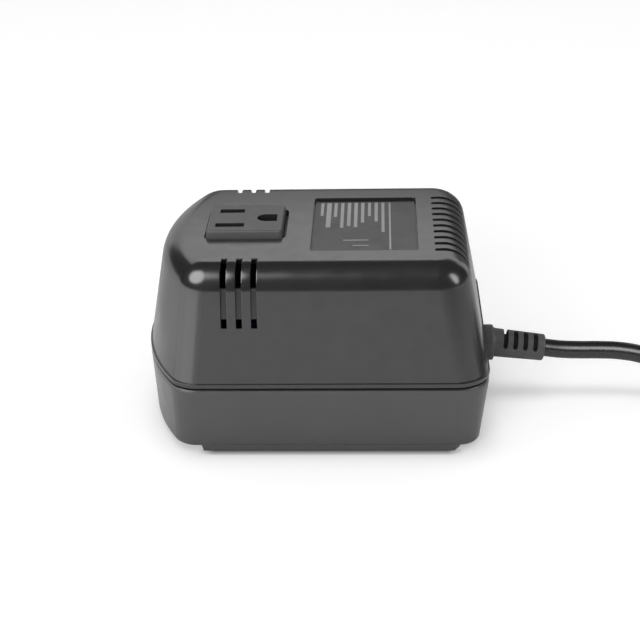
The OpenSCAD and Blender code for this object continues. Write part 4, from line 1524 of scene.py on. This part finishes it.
@dataclass
class MainsPlug:
    """The flat moulded body of the plug at the lead's far end, with its own strain relief."""

    x: float = 216.0
    y: float = -27.0
    z: float = 6.9
    relief_long: float = 16.0
    relief_steps: int = 70
    relief_wall: float = 0.7
    relief_groove: float = 1.1
    relief_share: float = 0.4
    relief_lip: float = 0.5
    relief_step: float = 4.0
    relief_grooves: float = 3.6
    relief_first: float = 3.0
    relief_pitch: float = 3.2
    long: float = 36.0
    wide: float = 35.3
    thick: float = 13.7
    back_wide: float = 14.0
    back_round: float = 1.2
    front_round: float = 1.5
    shoulder: float = 0.55
    waist: float = 2.0
    waist_long: float = 6.0
    grip_from: float = 22.5
    grips: int = 3
    grip_pitch: float = 3.4
    grip_half: float = 1.1
    grip_deep: float = 0.9
    corner: float = 4.5
    lead_d: float = 6.2
    body_steps: int = 95
    steps: int = 10

    def section(self, along: float, wide: float, thick: float, corner: float) -> Ring:
        """Give an upright section at a distance from the plug's start."""
        outline = round_rect(wide, thick, min(corner, wide / 2 - 0.01, thick / 2 - 0.01), self.steps)
        return [(self.x + along, y + self.y, z + self.z) for y, z in outline]

    def relief_width(self, along: float) -> float:
        """Width of the plug's own strain relief at a distance from its start, with shallow grooves.

        Args:
            along: that distance.

        Returns:
            The width.
        """
        start = self.lead_d + 2 * self.relief_wall
        wide = start + (self.thick - self.relief_step - start) * along / self.relief_long
        phase = (along - self.relief_first) / self.relief_pitch
        if 0 < phase < self.relief_grooves and phase % 1 < self.relief_share:
            wide -= self.relief_groove * math.sin(math.pi * (phase % 1) / self.relief_share) ** 0.5
        return wide - self.relief_lip if along == 0 else wide

    def body_width(self, along: float) -> float:
        """Width of the body at a distance from its back, with shallow finger grooves.

        Args:
            along: that distance.

        Returns:
            The width.
        """
        bend = self.shoulder * self.long
        waist = self.wide - self.waist
        wide = self.back_wide + (waist - self.back_wide) * min(1.0, along / bend)
        if along > bend:
            wide = waist + self.waist * min(1.0, (along - bend) / self.waist_long)
        groove = 0.0
        for i in range(self.grips):
            apart = abs(along - self.grip_from - self.grip_pitch * i)
            if apart < self.grip_half:
                groove = 0.5 + 0.5 * math.cos(math.pi * apart / self.grip_half)
        return wide - self.grip_deep * groove

    def build(self, paints: Paints) -> Object:
        """Make, dress and place the plug's body.

        Args:
            paints: the finishes to dress it in.

        Returns:
            The body.
        """
        rings = []
        back = self.relief_long
        for i in range(self.relief_steps + 1):
            along = back * i / self.relief_steps
            d = self.relief_width(along)
            rings.append(self.section(along, d, d, d / 2))
        for c, s in quarter(6):
            grow = self.back_round * (1 - s)
            along = self.back_round * (1 - c)
            size = (self.body_width(along) - 2 * grow, self.thick - 2 * grow)
            rings.append(self.section(back + along, *size, self.corner - grow / 2))
        for i in range(1, self.body_steps):
            along = self.back_round + (self.long - self.back_round - self.front_round) * i / self.body_steps
            rings.append(self.section(back + along, self.body_width(along), self.thick, self.corner))
        for c, s in quarter(6):
            drawn = self.front_round * (1 - c)
            along = back + self.long - self.front_round * (1 - s)
            size = (self.wide - 2 * drawn, self.thick - 2 * drawn)
            rings.append(self.section(along, *size, self.corner - drawn))
        return paints.settle(smooth(loft("plug_moulding", rings), 50.0), Slot.PLUG, "plug_body")


@dataclass
class LeadAssembly:
    """The mains lead: out of the strain relief, into a tied coil, and on to its plug."""

    diameter: float = 6.2
    tip: Point = (78.5681, 0.0, 16.4429)
    tilt: float = 7.0
    straight: float = 6.2
    coil_x: float = 175.0
    coil_y: float = 12.2
    coil_level: float = 4.3
    turns: int = 4
    inner_r: float = 24.6
    step: float = 6.8
    rise: float = 6.7
    steps: int = 24
    first: tuple[Point, ...] = (
        (91.0, 0.0, 15.45),
        (98.0, 0.0, 15.4),
        (105.0, -0.4, 15.2),
        (112.0, -1.6, 14.4),
        (119.0, -4.2, 12.9),
        (126.0, -8.0, 10.8),
        (132.0, -12.2, 8.6),
        (138.0, -16.8, 6.6),
        (144.0, -21.0, 5.2),
        (150.0, -24.2, 4.5),
        (156.0, -25.7, 4.3),
    )
    last: tuple[Point, ...] = (
        (193.0, -26.2, 10.4),
        (198.6, -26.5, 9.0),
        (204.2, -26.8, 7.5),
        (209.8, -27.0, 6.9),
        (216.0, -27.0, 6.9),
    )

    def coil_point(self, t: float) -> Point:
        """Give the coil's point after a number of turns: inwards below, then outwards above.

        Args:
            t: that number.

        Returns:
            The point.
        """
        soft = 0.25
        x = abs(t - self.turns / 2)
        radius = self.inner_r + self.step * (x if x > soft else (x * x / soft + soft) / 2)
        climb = max(-soft, min(soft, t - self.turns / 2))
        level = self.coil_level + self.rise * (0.5 + 0.5 * math.sin(math.tau * climb))
        turn = math.tau * t
        return (self.coil_x + radius * math.sin(turn), self.coil_y - radius * math.cos(turn), level)

    def route(self) -> Ring:
        """Give the lead's route from the strain relief to the plug.

        Returns:
            The points that it passes through.
        """
        lean = math.radians(self.tilt)
        far = self.straight
        out = (self.tip[0] + far * math.cos(lean), 0.0, self.tip[2] - far * math.sin(lean))
        side = self.coil_y - self.inner_r - self.step * self.turns / 2
        points = [self.tip, out, *self.first]
        points += [(self.coil_x - k * far, side, self.coil_level) for k in (2, 1)]
        points += [self.coil_point(i / self.steps) for i in range(self.turns * self.steps + 1)]
        points += [(self.coil_x + k * far, side, self.coil_level + self.rise) for k in (1, 2)]
        return points + list(self.last)

    def curve(self) -> Object:
        """Make the lead as one smooth round curve.

        Returns:
            The curve.
        """
        data = bpy.data.curves.new("lead", "CURVE")
        data.dimensions = "3D"
        data.bevel_depth = self.diameter / 2 * MM
        data.bevel_resolution = 8
        data.resolution_u = 6
        data.use_fill_caps = True
        spline = data.splines.new("BEZIER")
        points = self.route()
        spline.bezier_points.add(len(points) - 1)
        for knot, place in zip(spline.bezier_points, points):
            knot.co = [c * MM for c in place]
            knot.handle_left_type = "AUTO"
            knot.handle_right_type = "AUTO"
        return placed("lead", data)

    def length(self) -> float:
        """Length of the route in metres."""
        points = [Vector(p) for p in self.route()]
        return sum((b - a).length for a, b in zip(points, points[1:])) * MM

    def build(self, paints: Paints) -> None:
        """Args:
            paints: the finishes to dress it in.
        """
        lead = paints.settle(self.curve(), Slot.CORD, "cord_lead", "cord_coil", "cord_tail")
        plug = MainsPlug().build(paints)
        self.length()


# Solids that keep their own shape

KEPT_SOLIDS: dict[Slot, tuple[str, ...]] = {
    Slot.BRIDGE: ("socket_bridge",),
    Slot.SCREW: ("case_screws", "bridge_screws", "frame_screws"),
    Slot.CONTACT: ("live_contact", "neutral_contact", "earth_contact"),
    Slot.CORE: ("core_e_stack", "core_i_stack"),
    Slot.BOBBIN: ("coil_bobbin",),
    Slot.COPPER: ("primary_winding", "secondary_winding"),
    Slot.TAPE: ("winding_wrap",),
    Slot.TINNED: ("terminal_tags",),
    Slot.ZINC: ("core_frame",),
    Slot.FUSE: ("thermal_fuse",),
    Slot.BROWN: ("live_in_wire", "fuse_wire", "live_out_wire"),
    Slot.BLUE: ("neutral_in_wire", "neutral_out_wire"),
    Slot.TIE: ("coil_tie",),
    Slot.PLUG: ("pin_sleeves",),
    Slot.PIN: ("plug_pins",),
}


class InnerWorks:
    """The solids shown as they are: contacts, transformer, wiring, screws, tie and pins."""

    def build(self, paints: Paints) -> None:
        """Dress each solid in its slot's finish.

        Args:
            paints: the finishes to dress them in.
        """
        for slot, names in KEPT_SOLIDS.items():
            for name in names:
                paints.dress(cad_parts[name], FINISHES[slot])
                log.info("solid %s: slot %s", name, slot.value)


# Camera and light


@dataclass
class ViewCamera:
    """The camera: placed by its aim on the case, its tilt, its turn about the case and its roll."""

    lens: float = 87.02
    tilt: float = 25.391
    distance: float = 0.537278
    aim_x: float = -0.003301
    aim_z: float = 0.027523
    turn: float = -3.02
    roll: float = 1.597
    shift: float = 0.01916

    def build(self) -> None:
        """Make the camera and use it."""
        tilt = math.radians(self.tilt)
        roll = math.radians(self.roll)
        right = Vector((1.0, 0.0, 0.0))
        up = Vector((0.0, math.sin(tilt), math.cos(tilt)))
        ahead = Vector((0.0, math.cos(tilt), -math.sin(tilt)))
        place = Vector((self.aim_x, 0.0, self.aim_z)) - self.distance * ahead
        across = math.cos(roll) * right - math.sin(roll) * up
        upright = math.sin(roll) * right + math.cos(roll) * up
        back = Matrix.Rotation(math.radians(-self.turn), 3, "Z")
        data = bpy.data.cameras.new("view_camera")
        data.lens = self.lens
        data.sensor_width = 36.0
        data.shift_x = self.shift
        data.clip_start = 0.01
        data.clip_end = 50.0
        made = placed("view_camera", data)
        axes = Matrix((back @ across, back @ upright, back @ -ahead)).transposed()
        made.matrix_world = Matrix.Translation(back @ place) @ axes.to_4x4()
        bpy.context.scene.camera = made


@dataclass
class Lamp:
    """A flat soft lamp: azimuth 0 is the front and 90 the cord end, height in degrees above the floor."""

    name: str
    azimuth: float
    height: float
    distance: float
    size: Flat
    power: float
    shows_in_gloss: bool = True
    lights_surfaces: bool = True
    shape: LampShape = LampShape.RECTANGLE
    only: str = ""
    target: Point = (0.0, 0.0, 0.04)

    def build(self) -> None:
        """Make the lamp and turn it to the case."""
        data = bpy.data.lights.new(self.name, "AREA")
        data.shape = self.shape.value
        data.size, data.size_y = self.size
        data.energy = self.power
        made = placed(self.name, data)
        a = math.radians(self.azimuth)
        e = math.radians(self.height)
        away = Vector((math.sin(a) * math.cos(e), -math.cos(a) * math.cos(e), math.sin(e)))
        facing = away.to_track_quat("Z", "Y").to_matrix().to_4x4()
        made.matrix_world = Matrix.Translation(Vector(self.target) + self.distance * away) @ facing
        made.visible_camera = False
        made.visible_glossy = self.shows_in_gloss
        made.visible_diffuse = self.lights_surfaces
        if self.only:
            lit = bpy.data.collections.new(self.name)
            lit.objects.link(bpy.data.objects[self.only])
            made.light_linking.receiver_collection = lit


def show_in_gloss_only(made: Object, material: Material) -> None:
    """Dress a piece of the studio that nothing but gloss sees.

    Args:
        made: the piece.
        material: its material.
    """
    made.data.materials.append(material)
    made.visible_camera = False
    made.visible_diffuse = False
    made.visible_shadow = False
    made.visible_transmission = False


@dataclass
class Card:
    """A curved card that only gloss sees: azimuths as for lamps, radius and heights in metres."""

    name: str
    start: float
    stop: float
    radius: float
    low: float
    high: float
    glow: float
    steps: int = 40

    def build(self) -> None:
        """Stand the card on its place."""
        points = []
        for z in (self.low, self.high):
            for i in range(self.steps + 1):
                a = math.radians(self.start + (self.stop - self.start) * i / self.steps)
                points.append((self.radius * math.sin(a), -self.radius * math.cos(a), z))
        row = self.steps + 1
        made = mesh_of(self.name, points, [(i, i + 1, i + 1 + row, i + row) for i in range(self.steps)])
        shader = Shader(self.name, Base_Color=NO_COLOUR, Emission_Color=WHITE)
        shader.set(Emission_Strength=self.glow, Specular_IOR_Level=0.0)
        show_in_gloss_only(made, shader.material)


@dataclass
class Studio:
    """A pale floor, white surroundings with a dark canopy that only gloss sees, cards and soft lamps."""

    floor_size: float = 8.0
    floor_level: float = -0.0002
    floor_tone: float = 0.82
    floor_glow: float = 0.31
    floor_mottle: float = 0.995
    contact: float = 0.0037
    contact_fall: float = 2.0
    front: float = -0.0425
    front_soft: float = 0.002
    rail_x: float = 0.0053
    rail_half: float = 0.0415
    rail_soft: float = 0.003
    ambient: float = 0.54
    canopy_r: float = 3.0
    canopy_around: int = 120
    canopy_rows: int = 10
    window_left: float = 31.0
    window_right: float = 50.0
    window_top: float = 33.0
    window_soft: float = 8.0
    canopy_low: float = 2.0
    canopy_high: float = 89.0
    lamps: tuple[Lamp, ...] = (
        Lamp("key", -150.0, 86.0, 1.6, (0.7, 0.7), 7.0, shows_in_gloss=False),
        Lamp("fill", -18.0, 22.0, 1.6, (0.9, 0.7), 10.5, shows_in_gloss=False),
        Lamp(
            "left_gleam", -57.0, 51.0, 1.2, (1.1, 1.1), 14.6, lights_surfaces=False, shape=LampShape.ELLIPSE
        ),
        Lamp(
            "right_gleam", 70.0, 30.0, 1.3, (0.42, 0.9), 4.2, lights_surfaces=False, shape=LampShape.ELLIPSE
        ),
        Lamp("lead_gleam", 10.0, 47.0, 1.2, (0.5, 0.7), 7.5, lights_surfaces=False, only="lead"),
    )
    cards: tuple[Card, ...] = (
        Card("left_card_1", -24.0, -33.0, 0.15, 0.0, 0.062, 0.95),
        Card("left_card_2", -33.0, -62.0, 0.15, 0.0, 0.062, 1.76),
        Card("left_card_3", -62.0, -80.0, 0.15, 0.0, 0.062, 1.45),
        Card("left_card_4", -80.0, -97.0, 0.15, 0.0, 0.062, 1.1),
        Card("left_card_5", -94.0, -108.0, 0.13, 0.0, 0.062, 0.77),
        Card("left_card_6", -108.0, -150.0, 0.13, 0.0, 0.062, 0.59),
        Card("rear_glow", 145.0, 215.0, 1.0, 0.53, 0.72, 1.3),
        Card("rear_shade", 158.0, 202.0, 0.2, 0.0, 0.129, 0.2),
        Card("left_shade", 202.0, 222.0, 0.2, 0.03, 0.14, 0.66),
        Card("grille_shade", 134.0, 152.0, 0.2, 0.0, 0.12, 0.12),
        Card("corner_shade", 152.0, 158.0, 0.2, 0.066, 0.122, 0.15),
    )

    def painted_contact_shadow(self, shader: Shader, eye: NodeSocket) -> NodeSocket:
        """Work out the painted contact shadow beside the front rail: how much of the floor's light is left
        there.

        Args:
            shader: the floor's material.
            eye: 1 for rays from the eye, which alone see this shade.

        Returns:
            The share that is left, 1 away from the rail.
        """
        near = shader.add("AmbientOcclusion", Distance=self.contact).outputs["AO"]
        place = shader.add("SeparateXYZ", Vector=shader.place).outputs
        before = shader.mapped(place["Y"], (self.front + self.front_soft, self.front), 0.0, eye)
        away = shader.reckon("ABSOLUTE", shader.reckon("SUBTRACT", place["X"], self.rail_x))
        ends = (self.rail_half + self.rail_soft, self.rail_half - self.rail_soft)
        beside = shader.mapped(away, ends, 0.0, before)
        return shader.mapped(beside, (0.0, 1.0), 1.0, shader.reckon("POWER", near, self.contact_fall))

    def floor(self) -> None:
        """Lay the floor: a pale matt surface, brighter to the eye, with a painted contact shadow close to the
        front rail.
        """
        half = self.floor_size / 2
        corners = [(-half, -half), (half, -half), (half, half), (-half, half)]
        made = mesh_of("floor", raised(corners, 0.0, 0.0, self.floor_level), [(0, 1, 2, 3)])
        shader = Shader("pale_floor", Roughness=0.9, Specular_IOR_Level=0.0)
        tone = self.floor_tone
        shader.colour(shader.noise(60.0, 2.0), (tone * self.floor_mottle,) * 3, (tone,) * 3)
        eye = shader.add("LightPath").outputs["Is Camera Ray"]
        glow = shader.add("Emission", Strength=shader.reckon("MULTIPLY", eye, self.floor_glow))
        both = shader.add("AddShader")
        shader.join(both.inputs[0], shader.surface.outputs[0])
        shader.join(both.inputs[1], glow.outputs[0])
        shaded = shader.add("MixShader")
        shader.join(shaded.inputs[0], self.painted_contact_shadow(shader, eye))
        shader.join(shaded.inputs[2], both.outputs[0])
        shader.join(shader.tree.nodes["Material Output"].inputs["Surface"], shaded.outputs[0])
        made.data.materials.append(shader.material)

    def surroundings(self) -> None:
        """Set the surroundings: white to the eye, to gloss and through glass, softer as light."""
        world = bpy.data.worlds.new("surroundings")
        world.use_nodes = True
        bpy.context.scene.world = world
        nodes = Nodes(world.node_tree)
        path = nodes.add("LightPath").outputs
        seen = nodes.reckon("MAXIMUM", path["Is Camera Ray"], path["Is Glossy Ray"])
        seen = nodes.reckon("MAXIMUM", seen, path["Is Transmission Ray"])
        background = nodes.tree.nodes["Background"].inputs
        nodes.join(background["Color"], WHITE)
        nodes.join(background["Strength"], nodes.mapped(seen, (0.0, 1.0), self.ambient, 1.0))

    def canopy_edge(self, azimuth: float) -> float:
        """Give the canopy's lower edge.

        Args:
            azimuth: the direction in degrees, from the back.

        Returns:
            The edge's height in degrees.
        """
        turn = (azimuth + 180) % 360 - 180
        half = self.window_right if turn > 0 else self.window_left
        soft = self.window_soft
        share = min(1.0, max(0.0, (abs(turn) - half + soft / 2) / soft))
        return self.window_top + (self.canopy_low - self.window_top) * share * share * (3 - 2 * share)

    def canopy(self) -> None:
        """Hang the dark canopy, open behind the case, out of the eye's sight."""
        around = self.canopy_around
        rows = self.canopy_rows
        r = self.canopy_r
        points = []
        for j in range(rows + 1):
            for i in range(around):
                azimuth = 360.0 * i / around
                low = self.canopy_edge(azimuth)
                e = math.radians(low + (self.canopy_high - low) * j / rows)
                a = math.radians(azimuth)
                points.append((r * math.sin(a) * math.cos(e), r * math.cos(a) * math.cos(e), r * math.sin(e)))
        made = mesh_of("canopy", points, ring_faces(rows + 1, around)[2:])
        shader = Shader("dark_canopy", Roughness=1.0, Specular_IOR_Level=0.0)
        shader.colour(shader.noise(400.0, 1.0), (0.01, 0.01, 0.01), (0.014, 0.014, 0.014))
        show_in_gloss_only(made, shader.material)

    def build(self) -> None:
        """Set up floor, surroundings, canopy, cards and lamps."""
        self.floor()
        self.surroundings()
        self.canopy()
        for piece in (*self.cards, *self.lamps):
            piece.build()
        bpy.context.scene.view_settings.view_transform = "Standard"


def main() -> None:
    """Build camera, lead, strain relief, case, socket, plate, inner solids and studio."""
    logging.basicConfig(level=logging.INFO, format="%(message)s")
    paints = Paints()
    ViewCamera().build()
    for assembly in (LeadAssembly, StrainRelief, CaseAssembly, SocketAssembly, RatingPlate, InnerWorks):
        assembly().build(paints)
    Studio().build()


if __name__ == "__main__":
    main()
